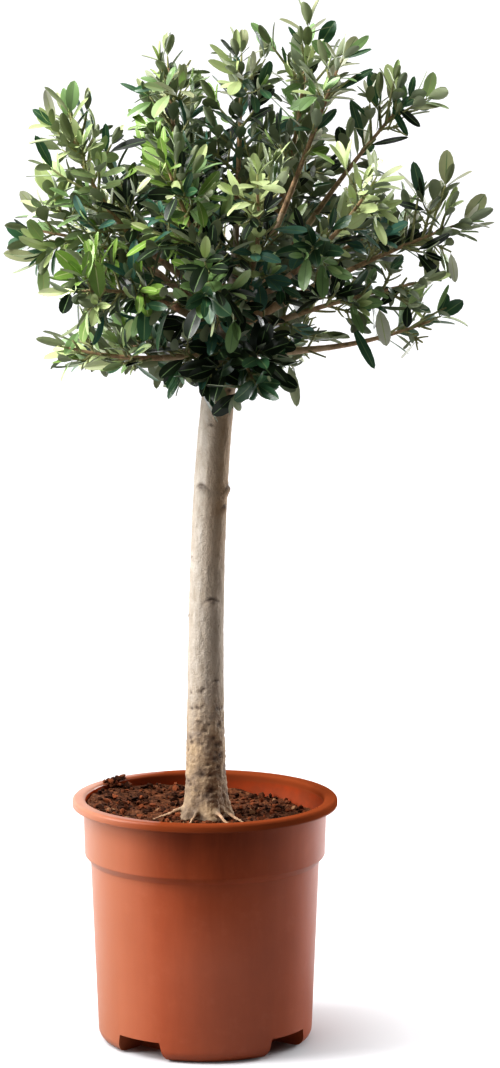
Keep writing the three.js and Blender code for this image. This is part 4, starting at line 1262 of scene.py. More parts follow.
# %% Room for each leaf
class LeafRoom:
    """The leaves that have found room, with their outlines and axes, for the test against the next one."""

    FOOT_FREE = 0.1
    HALF_WIDE = 0.45

    def __init__(self, most=12000, near=30.0):
        self.leaves = []
        self.near = near
        self.centres = np.zeros((most, 3))
        self.roots = np.zeros((most, 3))
        self.outlines = np.zeros((most, len(OUTLINE), 3))
        self.axes = np.zeros((most, 3, 3))

    def crossing(self, outline, axes, root):
        offset = self.centres[:len(self.leaves)] - outline.mean(0)
        picked = np.flatnonzero((offset * offset).sum(1) < self.near**2)
        if not len(picked):
            return False
        ours = np.einsum("nij,nkj->nki", self.axes[picked], outline[None] - self.roots[picked][:, None])
        theirs = np.einsum("ij,nkj->nki", axes, self.outlines[picked] - root)
        return bool(self.cuts(ours) or self.cuts(theirs))

    def cuts(self, local):
        after = np.roll(local, -1, axis=1)
        through = local[..., 2] * after[..., 2] < 0
        share = local[..., 2] / np.where(through, local[..., 2] - after[..., 2], 1)
        at = local + share[..., None] * (after - local)
        along_blade = (at[..., 0] > self.FOOT_FREE) & (at[..., 0] < 1.0)
        return (through & along_blade & (abs(at[..., 1]) < self.HALF_WIDE)).any()

    def keep(self, leaf, outline, axes, root):
        number = len(self.leaves)
        self.leaves.append(leaf)
        self.centres[number] = outline.mean(0)
        self.roots[number] = root
        self.outlines[number] = outline
        self.axes[number] = axes


def leaf_outline(root, way, face, length, width):
    return root + OUTLINE[:, :1] * length * way + OUTLINE[:, 1:] * length * width * np.cross(face, way)


def lay_leaf(room, shoot, root, way, face, length, width, draw, young):
    """Keeps a leaf in the room unless it would cut through one that is there."""
    side = np.cross(face, way)
    outline = leaf_outline(root, way, face, length, width)
    axes = np.array((way / length, side / (length * width), face / length))
    if room.crossing(outline, axes, root):
        return False
    leaf = {"root": root, "way": way, "side": side, "face": face, "length": length, "width": width,
            "young": young, "shoot": shoot, "dice": draw.uniform(0, 1, 4)}
    room.keep(leaf, outline, axes, root)
    return True


def try_leaf(room, shoot, share, roll, angle, length, width, draw, young):
    curve = shoot["curve"]
    way, heading, out = turned_out(curve, share, roll, angle)
    thick = shoot["radius"][0] + (shoot["radius"][1] - shoot["radius"][0]) * share
    root = point_on(curve, share) + out * thick * 0.5
    way = unit(way + UP * (LEAF["young_lift"] if young else LEAF["old_lift"]))
    face = heading * math.sin(angle) - out * math.cos(angle)
    face = face + UP * LEAF["up_turn"] * (1 - abs(way[2])) * (LEAF["young_turn"] if young else 1.0)
    face = unit(face - way * (face @ way))
    test = leaf_outline(root, way, face, length, width)[1:7]
    spine = root + SPINE * length * way
    if in_the_sky(test) or hides_limb(np.concatenate([test, spine])) or not off_the_wood(test[::2]):
        return False
    if (test < LOWEST).any() or (test > HIGHEST).any():
        return False
    return lay_leaf(room, shoot, root, way, face, length, width, draw, young)


# %% Leaves along each shoot
def grow_leaves(room, shoot, draw):
    """Opposite pairs of leaves along a shoot, and a tuft of young ones at its tip."""
    kind = shoot["kind"]
    habit = habit_of(LIMBS[shoot["mass"]])
    bare = max(LEAF["bare"][kind], habit.get("bare", 0) if kind == "stem" else 0)
    if kind == "tip" and habit.get("bare_tip"):
        return
    usual = LEAF["length"] * habit.get("size", 1)
    broad = LEAF["width"] * habit.get("broad", 1)
    nodes = max(int(round(length_of(shoot["curve"]) * (1 - bare) / LEAF["apart"])), 1)
    for node in range(nodes + 1):
        share = bare + (1 - bare) * node / nodes
        age = 1 - node / nodes
        middle = LEAF["young_angle"] + (LEAF["old_angle"] - LEAF["young_angle"]) * age
        full = LEAF["end_size"] + LEAF["middle_size"] * math.sin(math.pi * age)
        for half in (0, 180):
            for _ in range(LEAF["tries"]):
                roll = math.radians(node * 90 + half + LEAF["roll_spread"] * draw.uniform(-0.5, 0.5))
                angle = math.radians(middle + LEAF["angle_spread"] * draw.uniform(-0.5, 0.5))
                size = usual * (1 + LEAF["spread"] * draw.normal()) * full
                length = float(np.clip(size, LEAF["shortest"], LEAF["longest"]))
                width = broad * draw.uniform(*LEAF["width_range"])
                if try_leaf(room, shoot, min(share, LEAF["last"]), roll, angle, length, width, draw, False):
                    break
    for step, (share, size, angle) in enumerate(TUFT["pairs"] if kind != "stem" else ()):
        for half in (0, 180):
            turn = TUFT["roll_spread"] * draw.uniform(-1, 1)
            roll = math.radians((nodes + 1 + step) * 90 + half + turn)
            tilt = math.radians(angle + TUFT["angle_spread"] * draw.uniform(-1, 1))
            length = usual * size * draw.uniform(*TUFT["length_range"])
            try_leaf(room, shoot, share, roll, tilt, length, broad * TUFT["narrower"], draw, True)


# %% [markdown]
# Some leaves stand out on their own at the crown's edge and round its gaps. The rule would not put them just
# there, so about sixty are given one by one, by where they are seen from the front. Each starts from the
# shoot that is seen nearest, and all of them take their room before the rule's leaves do.

# %% Single leaves
SINGLE = {"shares": (0.1, 0.3, 0.5, 0.7, 0.85, 0.98), "outer_shares": (0.5, 0.7, 0.85, 0.98), "before": 5,
          "lean": 0.35, "shortest": 9, "longest": 40, "deeper": 0.05, "front": 100,
          "placed_seed": 900, "laid_seed": 1000}
PLACED = (  # limb, the tip seen from the front as x and z, length, width share, green
    ("left_shoulder", -90.6, 688, 24, 0.42, "mid"), ("top_left", -57.6, 688, 24, 0.16, "deep"),
    ("top_left", -50, 683, 20, 0.28, "deep"), ("top_left", -54, 664, 22, 0.3, "mid"),
    ("right_arm", 170.6, 639, 26, 0.42, "olive"), ("right_arm", 164, 642, 25, 0.16, "olive"),
    ("right_arm", 178, 640, 24, 0.2, "dusty"), ("right_arm", 147, 632, 31, 0.27, "deep"),
    ("right_arm", 159, 546, 26, 0.42, "olive"), ("right_arm", 177, 547, 22, 0.3, "dusty"),
    ("right_arm", 192, 606, 20, 0.4, "dusty"), ("right_arm", 184, 608, 20, 0.4, "olive"),
    ("right_middle", 122, 483, 36, 0.2, "deep"), ("right_middle", 129, 501, 28, 0.36, "dusty"),
    ("upper_right", 143, 650, 25, 0.2, "deep"))
LAID = (  # where a leaf is seen to leave its shoot, as x and z, where its tip is seen, width share, green
    (91, 718, 91, 730, 0.5, "deep"), (101, 709, 115, 720, 0.25, "mid"), (102, 705, 117, 711, 0.16, "deep"),
    (56, 701, 55, 712, 0.16, "deep"), (91, 680, 118, 697, 0.18, "deep"), (122, 666, 117, 695, 0.31, "deep"),
    (145, 674, 147, 691, 0.3, "deep"), (140, 673, 140, 685, 0.32, "mid"),
    (157, 671, 160, 694, 0.45, "light"), (142, 670, 167, 672, 0.16, "olive"),
    (136, 670, 152, 657, 0.25, "shade"), (114, 643, 143, 650, 0.15, "shade"),
    (120, 660, 103, 676, 0.14, "deep"), (111, 645, 103, 675, 0.2, "deep"), (82, 650, 92, 669, 0.3, "deep"),
    (96, 638, 95, 656, 0.5, "shade"), (77, 722, 85, 732, 0.14, "dusty"), (65, 711, 60, 726, 0.2, "deep"),
    (72, 691, 79, 701, 0.38, "shade"), (88, 708, 76, 716, 0.5, "mid"), (188, 593, 197, 609, 0.46, "olive"),
    (183, 598, 180, 612, 0.36, "mid"), (178, 584, 204, 591, 0.1, "dusty"),
    (168, 518, 171, 538, 0.42, "deep"), (173, 520, 182, 534, 0.5, "deep"),
    (160, 528, 172, 545, 0.15, "mid"), (143, 531, 154, 543, 0.35, "light"),
    (146, 529, 143, 515, 0.45, "shade"), (125, 531, 138, 544, 0.35, "shade"),
    (-96, 662, -98, 683, 0.27, "mid"), (-107, 656, -111, 682, 0.25, "dusty"),
    (-110, 652, -119, 669, 0.3, "deep"), (-106, 635, -118, 650, 0.25, "deep"),
    (-110, 611, -117, 629, 0.4, "spring"), (-114, 594, -129, 611, 0.4, "dusty"),
    (-112, 576, -124, 591, 0.45, "light"), (-133, 574, -138, 589, 0.45, "deep"),
    (-119, 563, -141, 568, 0.3, "olive"), (-115, 559, -113, 537, 0.35, "light"),
    (-100, 537, -100, 525, 0.6, "shade"), (-96, 516, -99, 496, 0.35, "mid"),
    (-73, 534, -77, 562, 0.42, "bright"), (-96, 556, -104, 569, 0.4, "bright"),
    (-90, 555, -81, 569, 0.35, "bright"), (-91, 555, -92, 572, 0.4, "fresh"),
    (-56, 579, -57, 600, 0.45, "olive"), (-66, 636, -69, 658, 0.25, "deep"),
    (-56, 639, -66, 647, 0.3, "deep"))


# %% Place the single leaves
def aim_leaf(room, shoot, root, tip, width, green, draw):
    length = np.linalg.norm(tip - root)
    way = (tip - root) / length
    face = UP * SINGLE["lean"] - BACK
    face = unit(face - way * (face @ way))
    if lay_leaf(room, shoot, root, way, face, length, width, draw, False):
        room.leaves[-1]["green"] = "leaf_" + green


def tips_before(roots, x, z):
    """The points a little before each root that are seen at x and z from the front."""
    share = (roots[:, 1] - SINGLE["before"] - EYE[1]) / -EYE[1]
    return EYE + (np.array((x, 0, z)) - EYE) * share[:, None]


SHOOT_SPOTS = [(shoot, share) for shoot in SHOOTS for share in SINGLE["shares"]]
SPOT_PLACES = np.array([point_on(shoot["curve"], share) for shoot, share in SHOOT_SPOTS])
SPOT_SEEN = seen_flat(SPOT_PLACES)


def laid_leaf(room, root_x, root_z, tip_x, tip_z, width, green, draw):
    """A leaf from the shoot that is seen nearest to a place to a given tip; shoots in front come first."""
    off = np.hypot(SPOT_SEEN[:, 0] - root_x, SPOT_SEEN[:, 2] - root_z)
    deep = np.maximum(SPOT_PLACES[:, 1] + SINGLE["front"], 0)
    best = int((off + SINGLE["deeper"] * deep).argmin())
    tip = tips_before(SPOT_PLACES[best:best + 1], tip_x, tip_z)[0]
    if SINGLE["shortest"] < np.linalg.norm(tip - SPOT_PLACES[best]) < SINGLE["longest"]:
        aim_leaf(room, SHOOT_SPOTS[best][0], SPOT_PLACES[best], tip, width, green, draw)


def placed_leaf(room, name, x, z, length, width, green, draw):
    """A leaf of a given length from the shoot of its limb that best lets its tip come where it is seen."""
    shoots = [shoot for shoot in SHOOTS if LIMBS[shoot["mass"]]["name"] == name and shoot["kind"] != "stem"]
    spots = [(shoot, share) for shoot in shoots for share in SINGLE["outer_shares"]]
    roots = np.array([point_on(shoot["curve"], share) for shoot, share in spots])
    tips = tips_before(roots, x, z)
    best = int(abs(np.linalg.norm(tips - roots, axis=1) - length).argmin())
    tip = roots[best] + unit(tips[best] - roots[best]) * length
    aim_leaf(room, spots[best][0], roots[best], tip, width, green, draw)


leaf_room = LeafRoom()
for number, row in enumerate(PLACED):
    placed_leaf(leaf_room, *row, np.random.default_rng(SINGLE["placed_seed"] + number))
for number, row in enumerate(LAID):
    laid_leaf(leaf_room, *row, np.random.default_rng(SINGLE["laid_seed"] + number))
print(len(leaf_room.leaves), "of", len(PLACED) + len(LAID), "single leaves placed")

# %% Grow all other leaves
for number, shoot in enumerate(SHOOTS):
    grow_leaves(leaf_room, shoot, np.random.default_rng(LEAF["seed"] + number))
LEAVES = leaf_room.leaves
print(len(LEAVES), "leaves")

# %% [markdown]
# ## The leaf's mesh
# One blade is a grid of 63 faces: a top five strips wide and seven rows long, with a narrow rib in the
# middle, and an underside of four strips that closes it. All leaves are made at once with arrays. Each gets
# its own fold along the rib, its own backward curl and its own twist, so no two catch the light alike.

# %% Blade grid
STATIONS = np.array((0.09, 0.22, 0.42, 0.63, 0.82, 0.94))
HALF_WIDTHS = np.array((0.10, 0.58, 0.94, 1.0, 0.80, 0.47))
TOP_ACROSS = np.array((-1, -0.55, -0.07, 0.07, 0.55, 1))
UNDER_ACROSS = np.array((-0.55, 0, 0.55))
THICK = 0.5
THINNER = 0.4  # what the blade loses of it towards its tip
TOPS = len(TOP_ACROSS)
UNDERS = len(UNDER_ACROSS)
BLADE, RIB, UNDERSIDE = range(3)
TOP_PARTS = (BLADE, BLADE, RIB, BLADE, BLADE)


def blade_grid():
    """Shares along and across, a flag for the underside, the faces, and each face's part of the leaf."""
    spots, faces, parts = [(0.0, 0.0, 0.0)], [], []
    for station, half in zip(STATIONS, HALF_WIDTHS):
        spots += [(station, s * half, 0) for s in TOP_ACROSS]
        spots += [(station, s * half, 1) for s in UNDER_ACROSS]
    spots.append((1.0, 0.0, 0.0))
    tip = len(spots) - 1

    def ring(k):
        first = 1 + (TOPS + UNDERS) * k
        top = list(range(first, first + TOPS))
        return top, [top[0], *range(first + TOPS, first + TOPS + UNDERS), top[-1]]

    for k in range(len(STATIONS) - 1):
        top, under = ring(k)
        top_on, under_on = ring(k + 1)
        for i in range(TOPS - 1):
            faces.append((top[i], top_on[i], top_on[i + 1], top[i + 1]))
            parts.append(TOP_PARTS[i])
        for i in range(UNDERS + 1):
            faces.append((under[i], under[i + 1], under_on[i + 1], under_on[i]))
            parts.append(UNDERSIDE)
    for k, end, flip in ((0, 0, False), (len(STATIONS) - 1, tip, True)):
        top, under = ring(k)
        for i in range(TOPS - 1):
            faces.append((end, top[i + 1], top[i], -1) if flip else (end, top[i], top[i + 1], -1))
            parts.append(TOP_PARTS[i])
        for i in range(UNDERS + 1):
            faces.append((end, under[i], under[i + 1], -1) if flip else (end, under[i + 1], under[i], -1))
            parts.append(UNDERSIDE)
    return np.array(spots), np.array(faces), np.array(parts)


SPOTS, BLADE_FACES, BLADE_PARTS = blade_grid()
print("one blade has", len(BLADE_FACES), "faces")


# %% Bend the blades
CURL = {"young": (-0.05, 0.3), "old": (0.1, 0.5), "mostly_little": 1.5}  # the least, and what chance adds
FOLD = {"young": 0.35, "old": 0.1, "spread": 0.22}
TWIST = 0.9
HOLLOW = 0.05
NARROWEST = 0.05


def blade_points(leaves):
    """The points of many blades at once, each folded, curled and twisted by its own four dice."""
    def column(key):
        return np.array([leaf[key] for leaf in leaves])
    dice = column("dice")
    length, width = column("length")[:, None], column("width")[:, None]
    young = column("young")[:, None]
    t, s, under = SPOTS[None, :, 0], SPOTS[None, :, 1], SPOTS[None, :, 2]
    young_curl = CURL["young"][0] + CURL["young"][1] * dice[:, :1]
    old_curl = CURL["old"][0] + CURL["old"][1] * dice[:, 1:2] ** CURL["mostly_little"]
    curl = np.where(young, young_curl, old_curl)
    fold = np.where(young, FOLD["young"], FOLD["old"]) + FOLD["spread"] * dice[:, 2:3]
    twist = TWIST * (dice[:, 3:4] - 0.5)
    across = s * length * width / 2
    rise = fold * abs(across) - HOLLOW * length * width * abs(s) ** 3
    inner = np.clip(1 - (s / np.maximum(np.interp(t, STATIONS, HALF_WIDTHS), NARROWEST)) ** 2, 0, 1)
    rise = rise - under * THICK * inner * (1 - THINNER * t)
    turn = twist * t
    side_move = across * np.cos(turn) - rise * np.sin(turn)
    face_move = across * np.sin(turn) + rise * np.cos(turn) - length * curl * t**2 / 2
    ahead = length * (t - curl**2 * t**3 / 6)
    return (column("root")[:, None] + ahead[..., None] * column("way")[:, None]
            + side_move[..., None] * column("side")[:, None] + face_move[..., None] * column("face")[:, None])


# %% [markdown]
# Leaf colours are plain, and they are dealt out by spray: every leaf of a shoot takes that shoot's green, and
# the tuft at its tip a fresher one. Shoots deep in the crown, under it and in the middle of its front are
# dealt dark greens as painted shade. At its edge they are lighter, most of all on the left, where paler
# greens are painted light from the left lamp, and greyer on the right. A few sprays of new growth are bright.
# The underside is a silvery grey-green felt, and the rib a light line. A picture on each leaf could hold
# finer changes, but plain colours on many leaves look as lively from afar.

# %% Leaf finishes
LEAF_TONES = {
    "leaf_fresh": (208, 215, 172), "leaf_spring": (187, 202, 143), "leaf_light": (166, 188, 130),
    "leaf_mid": (130, 161, 104), "leaf_olive": (166, 170, 130), "leaf_deep": (58, 94, 64),
    "leaf_shade": (22, 37, 19), "leaf_blue": (70, 112, 96), "leaf_dusty": (203, 204, 184),
    "leaf_bright": (124, 156, 72), "leaf_grey": (166, 166, 136)}
RIB_TONES = {"rib_light": (184, 194, 136), "rib_dark": (112, 136, 92)}
UNDER_TONES = {"under_pale": (145, 154, 122), "under_olive": (120, 130, 93), "under_grey": (133, 143, 117)}
LEAF_SURFACES = (  # the colours of each part of a leaf, with its roughness and other values
    (LEAF_TONES, {"roughness": 0.29, "Specular_IOR_Level": 0.55}), (RIB_TONES, {"roughness": 0.5}),
    (UNDER_TONES, {"roughness": 0.7, "Sheen_Weight": 0.15}))
LEAF_FINISHES = [new_material(name, tone, **surface)[0]
                 for tones, surface in LEAF_SURFACES for name, tone in tones.items()]
LEAF_INDEX = {finish.name: number for number, finish in enumerate(LEAF_FINISHES)}
print(len(LEAF_FINISHES), "plain finishes for leaves")

# %% Greens dealt out by spray
CROWN = {"centre": np.array((30.0, 5.0, 590.0)), "half": np.array((175.0, 145.0, 155.0))}
# the dark greens deep in the crown are painted shade
SPRAY_BY_DEPTH = (  # how far out from the crown's middle, and the greens that sprays there are dealt
    (0.44, ("leaf_shade", "leaf_deep", "leaf_shade", "leaf_shade", "leaf_blue")),
    (0.66, ("leaf_deep", "leaf_mid", "leaf_blue", "leaf_shade", "leaf_bright", "leaf_shade")),
    (9.9, ("leaf_mid", "leaf_light", "leaf_olive", "leaf_shade", "leaf_spring", "leaf_mid", "leaf_dusty",
           "leaf_deep")))
# at the far left the paler greens are painted light from the left lamp
EDGE_GREENS = (  # x up to which sprays at the crown's edge are dealt more greens, each twice
    (-92, ("leaf_spring", "leaf_light", "leaf_fresh", "leaf_deep", "leaf_dusty")),
    (-40, ("leaf_deep", "leaf_blue", "leaf_bright", "leaf_mid", "leaf_light")),
    (100, ()),
    (999, ("leaf_grey", "leaf_olive", "leaf_dusty", "leaf_deep", "leaf_deep")))
FRESH_GREENS = ("leaf_fresh", "leaf_spring", "leaf_light")
BRIGHT = (  # sprays of new growth: where their tips are seen, how wide, and their green
    (32, 621, 17, "spring"), (-27, 643, 20, "bright"), (-77, 555, 16, "bright"), (120, 612, 17, "spring"),
    (-100, 650, 16, "spring"), (60, 700, 14, "spring"))
DEAL = {"at": 0.7, "higher": 0.22, "front": 0.38, "front_x": 40, "front_half": 100, "front_from": 500,
        "front_rise": 40, "dark": 0.3, "edge": 0.6, "fresh": 0.45, "bright_before": 30, "spring_edge": 0.7,
        "spring": 0.12, "lively": 0.5, "seed": 77}


# the front's middle counts as deeper, so that its sprays take dark greens as painted shade
def depth_of(spot):
    """How far out a spot lies: 0 in the crown's middle, about 1 at its edge, less in the front's middle."""
    out = np.linalg.norm((spot - CROWN["centre"]) / CROWN["half"])
    out += DEAL["higher"] * (spot[2] - CROWN["centre"][2]) / CROWN["half"][2]
    ahead = max(CROWN["centre"][1] - spot[1], 0) / CROWN["half"][1]
    ahead *= clamp((spot[2] - DEAL["front_from"]) / DEAL["front_rise"])
    return out - DEAL["front"] * ahead * max(1 - abs(spot[0] - DEAL["front_x"]) / DEAL["front_half"], 0)


def spray_tones(shoot, draw):
    middle = point_on(shoot["curve"], DEAL["at"])
    out = depth_of(middle)
    # inner shoots and the limbs under the crown take dark greens as painted shade
    dark = shoot["kind"] == "inner" or habit_of(LIMBS[shoot["mass"]]).get("dark")
    depth = DEAL["dark"] if dark else out
    greens = next(greens for limit, greens in SPRAY_BY_DEPTH if depth < limit)
    if not dark and out > DEAL["edge"]:
        greens = greens + 2 * next(more for limit, more in EDGE_GREENS if middle[0] < limit)
    old = greens[draw.integers(len(greens))]
    fresh = FRESH_GREENS[draw.integers(len(FRESH_GREENS))] if out > DEAL["fresh"] else "leaf_light"
    tip = seen_flat(point_on(shoot["curve"], 1)[None])[0]
    new = [green for x, z, wide, green in BRIGHT if math.hypot(tip[0] - x, tip[2] - z) < wide]
    if middle[1] < DEAL["bright_before"] and new:
        old, fresh, dark = "leaf_" + new[0], "leaf_fresh", False
    elif not dark and out > DEAL["spring_edge"] and draw.uniform() < DEAL["spring"]:
        old = "leaf_spring"
    under = tuple(UNDER_TONES)[draw.integers(len(UNDER_TONES))]
    lively = not dark and draw.uniform() < DEAL["lively"]
    return {"old": old, "fresh": fresh, "under": under, "lively": lively}


tone_draw = np.random.default_rng(DEAL["seed"])
for shoot in SHOOTS:
    shoot["tones"] = spray_tones(shoot, tone_draw)
print("greens dealt to", len(SHOOTS), "sprays")


# %% Which finishes a leaf takes
PALE_GREENS = ("leaf_fresh", "leaf_spring", "leaf_light", "leaf_dusty", "leaf_bright")


def leaf_finish_row(leaf):
    """The finishes of a leaf's blade, rib and underside, as numbers."""
    tones = leaf["shoot"]["tones"]
    green = tones["fresh"] if leaf["young"] and tones["lively"] else leaf.get("green", tones["old"])
    rib = "rib_light" if green in PALE_GREENS else "rib_dark"
    return LEAF_INDEX[green], LEAF_INDEX[rib], LEAF_INDEX[tones["under"]]


# %% Leaf pieces, one for each side of the crown
SIDES = {
    "leaves_left": ("low_left", "mid_left", "far_left", "left_shoulder"),
    "leaves_top": ("top_left", "front_high", "top_middle", "spire", "top_right"),
    "leaves_right": ("upper_right", "right_shoulder", "right_arm", "right_middle", "low_right"),
    "leaves_front": ("front_right", "front_low", "under_front", "under_left"),
    "leaves_back": ("back_left", "back", "back_right", "back_top_left", "back_top_right", "back_low_left",
                    "back_low_right")}
for piece_name, masses in SIDES.items():
    chosen = [leaf for leaf in LEAVES if LIMBS[leaf["shoot"]["mass"]]["name"] in masses]
    points = blade_points(chosen)
    starts = (np.arange(len(chosen)) * len(SPOTS))[:, None, None]
    faces = np.where(BLADE_FACES[None] >= 0, BLADE_FACES[None] + starts, -1).reshape(-1, 4)
    finish = np.array([leaf_finish_row(leaf) for leaf in chosen])[:, BLADE_PARTS].ravel()
    mesh = array_mesh(piece_name, points.reshape(-1, 3), faces, finish)
    solids = ["foliage_" + name for name in masses]
    finish_piece(piece_name, mesh, LEAF_FINISHES, solids, crease=60)

# %% [markdown]
# ## Twigs
# Every shoot becomes a thin tapering tube, sunk a little into what bears it. Older wood is brown, and the
# newest shoots are still green. A few cut stubs show where side shoots were pruned back.

# %% Twig finishes
TWIG_TONES = {"twig_wood": (172, 142, 110), "twig_young": (148, 148, 102), "cut_wood": (206, 160, 130)}
WOOD, YOUNG, CUT = range(3)
DARKER = 0.78
LIGHTER = 1.12
twig_finishes = []
for name, color in TWIG_TONES.items():
    finish, tree, shader = new_material(name, color, roughness=0.75)
    patches = mottle(tree, object_place(tree), scale=300.0, low=0.35, high=0.65)
    dark = tuple(DARKER * share for share in color)
    light = tuple(min(LIGHTER * share, 255) for share in color)
    tree.links.new(blend_colors(tree, patches, dark, light), shader.inputs["Base Color"])
    twig_finishes.append(finish)
print(len(twig_finishes), "finishes for twigs")

# %% Twig tubes
TUBE = {"sides": 6, "rings": 6, "sunk": 1.6, "pointed": 0.6, "stub_foot": 1.15}
STUBS = (  # bough, share along it, turn, rise, length, radius
    ("left_shoulder", 0.86, 232, 62, 15, 2.9), ("top_right", 0.62, 300, 40, 11, 2.7),
    ("mid_left", 0.8, 250, 35, 8, 2.2), ("right_shoulder", 0.7, 262, 30, 9, 2.3),
    ("back", 0.75, 70, 45, 9, 2.4))


def tube(curve, radii, sides, rings):
    turns = np.arange(sides) * math.tau / sides
    points = []
    for share in np.linspace(0, 1, rings):
        side, front = cross_axes(curve, share)
        radius = radii[0] + (radii[1] - radii[0]) * share
        middle = point_on(curve, share)
        points += [middle + radius * (side * math.cos(a) + front * math.sin(a)) for a in turns]
    points.append(point_on(curve, 1) + heading_on(curve, 1) * radii[1] * TUBE["pointed"])
    points.append(curve[0])
    pairs = [(i, (i + 1) % sides) for i in range(sides)]
    last = (rings - 1) * sides
    faces = [(low + i, low + sides + i, low + sides + j, low + j)
             for low in range(0, last, sides) for i, j in pairs]
    faces += [(last + i, rings * sides, last + j, -1) for i, j in pairs]
    faces += [(rings * sides + 1, i, j, -1) for i, j in pairs]
    return np.array(points), np.array(faces)


def twig_jobs():
    """The curve, the two radii and the finish of every tube: first the shoots, then the cut stubs."""
    jobs = []
    for shoot in SHOOTS:
        a, b, c = shoot["curve"]
        sunk = (a - heading_on(shoot["curve"], 0) * TUBE["sunk"], b, c)
        jobs.append((sunk, shoot["radius"], WOOD if shoot["kind"] == "stem" else YOUNG))
    for name, share, turn, rise, length, radius in STUBS:
        bough = next(row["bough"] for row in BOUGHS if row["name"] == name)
        foot = point_on(bough, share)
        angle = math.radians(rise)
        tip = step_from(foot, turn, length * math.cos(angle), length * math.sin(angle))
        jobs.append((straight(foot, tip), (radius * TUBE["stub_foot"], radius), CUT))
    return jobs


def make_twigs():
    points, faces, finish = [], [], []
    count = 0
    for curve, radii, tone in twig_jobs():
        own_points, own_faces = tube(curve, radii, TUBE["sides"], TUBE["rings"])
        faces.append(np.where(own_faces >= 0, own_faces + count, -1))
        points.append(own_points)
        finish.append(np.full(len(own_faces), tone))
        count += len(own_points)
    return array_mesh("twigs", np.concatenate(points), np.concatenate(faces), np.concatenate(finish))


finish_piece("twigs", make_twigs(), twig_finishes, [], crease=70)

# %% [markdown]
# ## Floor and light
# The plant stands on a wide, plain, pale floor, which lights up a little of its own so that it stays pale far
# off. Its glow is lower near the pot and taken away right round its foot, which paints a shadow there. The
# light is that of a product studio: a large soft box at the left, one low behind at the right, a small one
# above, a weak card near the floor, and three soft glows. Little comes from the front. So the pot and stem
# are bright along their left edge and darkest in the middle.

# %% Floor
FLOOR = {"half": 60, "seen": (200, 200, 203), "lit": (150, 150, 152), "mirror_from": 0.0, "mirror_full": 0.4}
# the floor's glow near and far, and where a painted shadow round the pot's foot takes it away
FLOOR_LIFT = {"near": 0.36, "far": 0.54, "from": 0.3, "to": 3.5, "shadow_full_to": 0.06, "shadow_gone_from": 0.15}
bm = bmesh.new()
bmesh.ops.create_grid(bm, x_segments=1, y_segments=1, size=FLOOR["half"])
floor_mesh = mesh_from(bm, "floor")
floor = bpy.data.objects.new("floor", floor_mesh)
floor_finish, tree, shader = new_material("pale_floor", FLOOR["seen"], roughness=0.9, Specular_IOR_Level=0.1)
where = object_place(tree)
path = add(tree, "ShaderNodeLightPath").outputs
behind = add(tree, "ShaderNodeSeparateXYZ", {0: where}).outputs["Y"]
behind = ramp(tree, behind, FLOOR["mirror_from"], FLOOR["mirror_full"])
mirrored = times(tree, path["Is Glossy Ray"], behind)
seen = math_of(tree, "MAXIMUM", path["Is Camera Ray"], mirrored)
tree.links.new(blend_colors(tree, seen, FLOOR["lit"], FLOOR["seen"]), shader.inputs["Base Color"])
away = add(tree, "ShaderNodeVectorMath", {0: where}, operation="LENGTH").outputs["Value"]
lift = add(tree, "ShaderNodeMapRange", {
    "Value": away, "From Min": FLOOR_LIFT["from"], "From Max": FLOOR_LIFT["to"],
    "To Min": FLOOR_LIFT["near"], "To Max": FLOOR_LIFT["far"]}).outputs["Result"]
# painted shadow: no glow right round the pot's foot
lift = times(tree, ramp(tree, away, FLOOR_LIFT["shadow_full_to"], FLOOR_LIFT["shadow_gone_from"]), lift)
tree.links.new(times(tree, seen, lift), shader.inputs["Emission Strength"])
shader.inputs["Emission Color"].default_value = (1, 1, 1, 1)
floor_mesh.materials.append(floor_finish)
bpy.context.scene.collection.objects.link(floor)
floor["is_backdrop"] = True
print("floor is", 2 * FLOOR["half"], "metres wide")

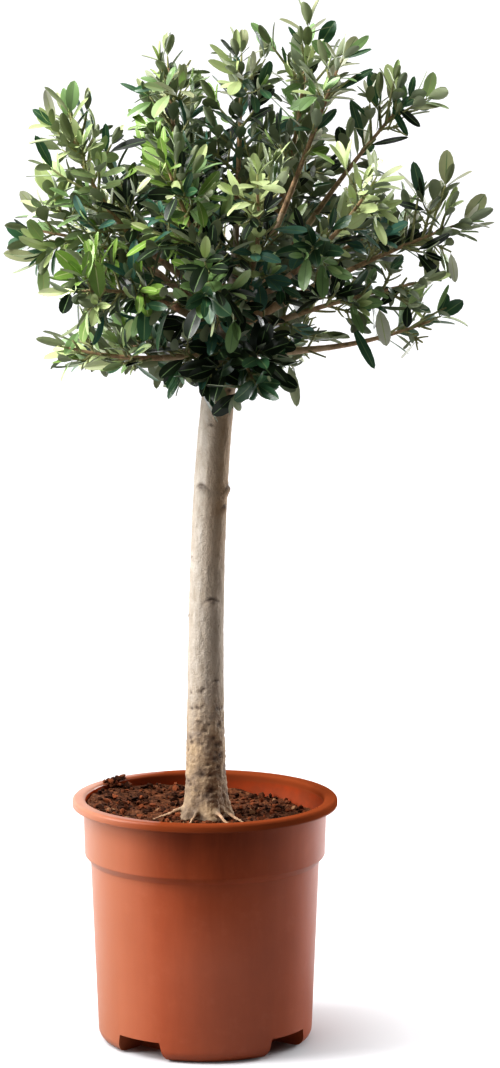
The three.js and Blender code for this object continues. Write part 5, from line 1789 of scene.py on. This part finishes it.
# %% Light
LAMPS = (  # name, place, aim, width, height, watts, colour
    ("left_box", (-2.0, -0.28, 1.0), (0, 0, 0.45), 0.9, 1.6, 54, (1.0, 0.99, 0.975)),
    ("right_box", (1.75, 1.3, 0.65), (0, 0, 0.4), 0.8, 1.6, 62, (0.98, 0.99, 1.0)),
    ("top_box", (-1.05, -0.4, 1.75), (0, 0, 0.6), 0.6, 0.6, 28, (1.0, 1.0, 1.0)),
    ("floor_card", (0, -0.5, 0.03), (0, 0, 0.05), 0.7, 0.16, 0.3, (1.0, 0.98, 0.95)))
for name, spot, aim, wide, high, watts, color in LAMPS:
    lamp = bpy.data.lights.new(name, "AREA")
    lamp.shape = "RECTANGLE"
    lamp.size = wide
    lamp.size_y = high
    lamp.energy = watts
    lamp.color = color
    holder = bpy.data.objects.new(name, lamp)
    holder.location = spot
    holder.rotation_euler = (Vector(aim) - Vector(spot)).to_track_quat("-Z", "Y").to_euler()
    bpy.context.scene.collection.objects.link(holder)
print(len(LAMPS), "lamps")

# %% Glow all round
EVEN_GLOW = 0.03
EXPOSURE = -0.1
GLOWS = (  # direction, where each glow starts and is full, its strength
    ((-0.25, -0.22, 0.94), 0.68, 0.97, 1.7), ((0, 1, 0), 0.35, 0.95, 1.1),
    ((-0.85, 0.5, 0.1), 0.35, 0.95, 0.8))
world = bpy.data.worlds.new("studio")
world.use_nodes = True
bpy.context.scene.world = world
tree = world.node_tree
total = EVEN_GLOW
for axis, starts, full, strength in GLOWS:
    direction = add(tree, "ShaderNodeTexCoord").outputs["Generated"]
    toward = add(tree, "ShaderNodeVectorMath", {0: direction, 1: tuple(Vector(axis).normalized())},
                 operation="DOT_PRODUCT").outputs["Value"]
    sizes = {"Value": toward, "From Min": starts, "From Max": full, "To Max": strength}
    glow = add(tree, "ShaderNodeMapRange", sizes, interpolation_type="SMOOTHSTEP").outputs["Result"]
    total = math_of(tree, "ADD", glow, total)
tree.links.new(total, tree.nodes["Background"].inputs["Strength"])
tree.nodes["Background"].inputs["Color"].default_value = (1, 1, 1, 1)
bpy.context.scene.view_settings.view_transform = "Standard"
bpy.context.scene.view_settings.look = "Medium High Contrast"
bpy.context.scene.view_settings.exposure = EXPOSURE
print(len(GLOWS), "glows")

# %% [markdown]
# ## Sizes
# The dressed plant's reach is printed. The dressed plant has to keep to the solids' box, apart from a little
# that leaves may stand proud.

# %% Boxes and finish
low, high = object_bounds()
print("plant reaches from", tuple(low), "to", tuple(high))
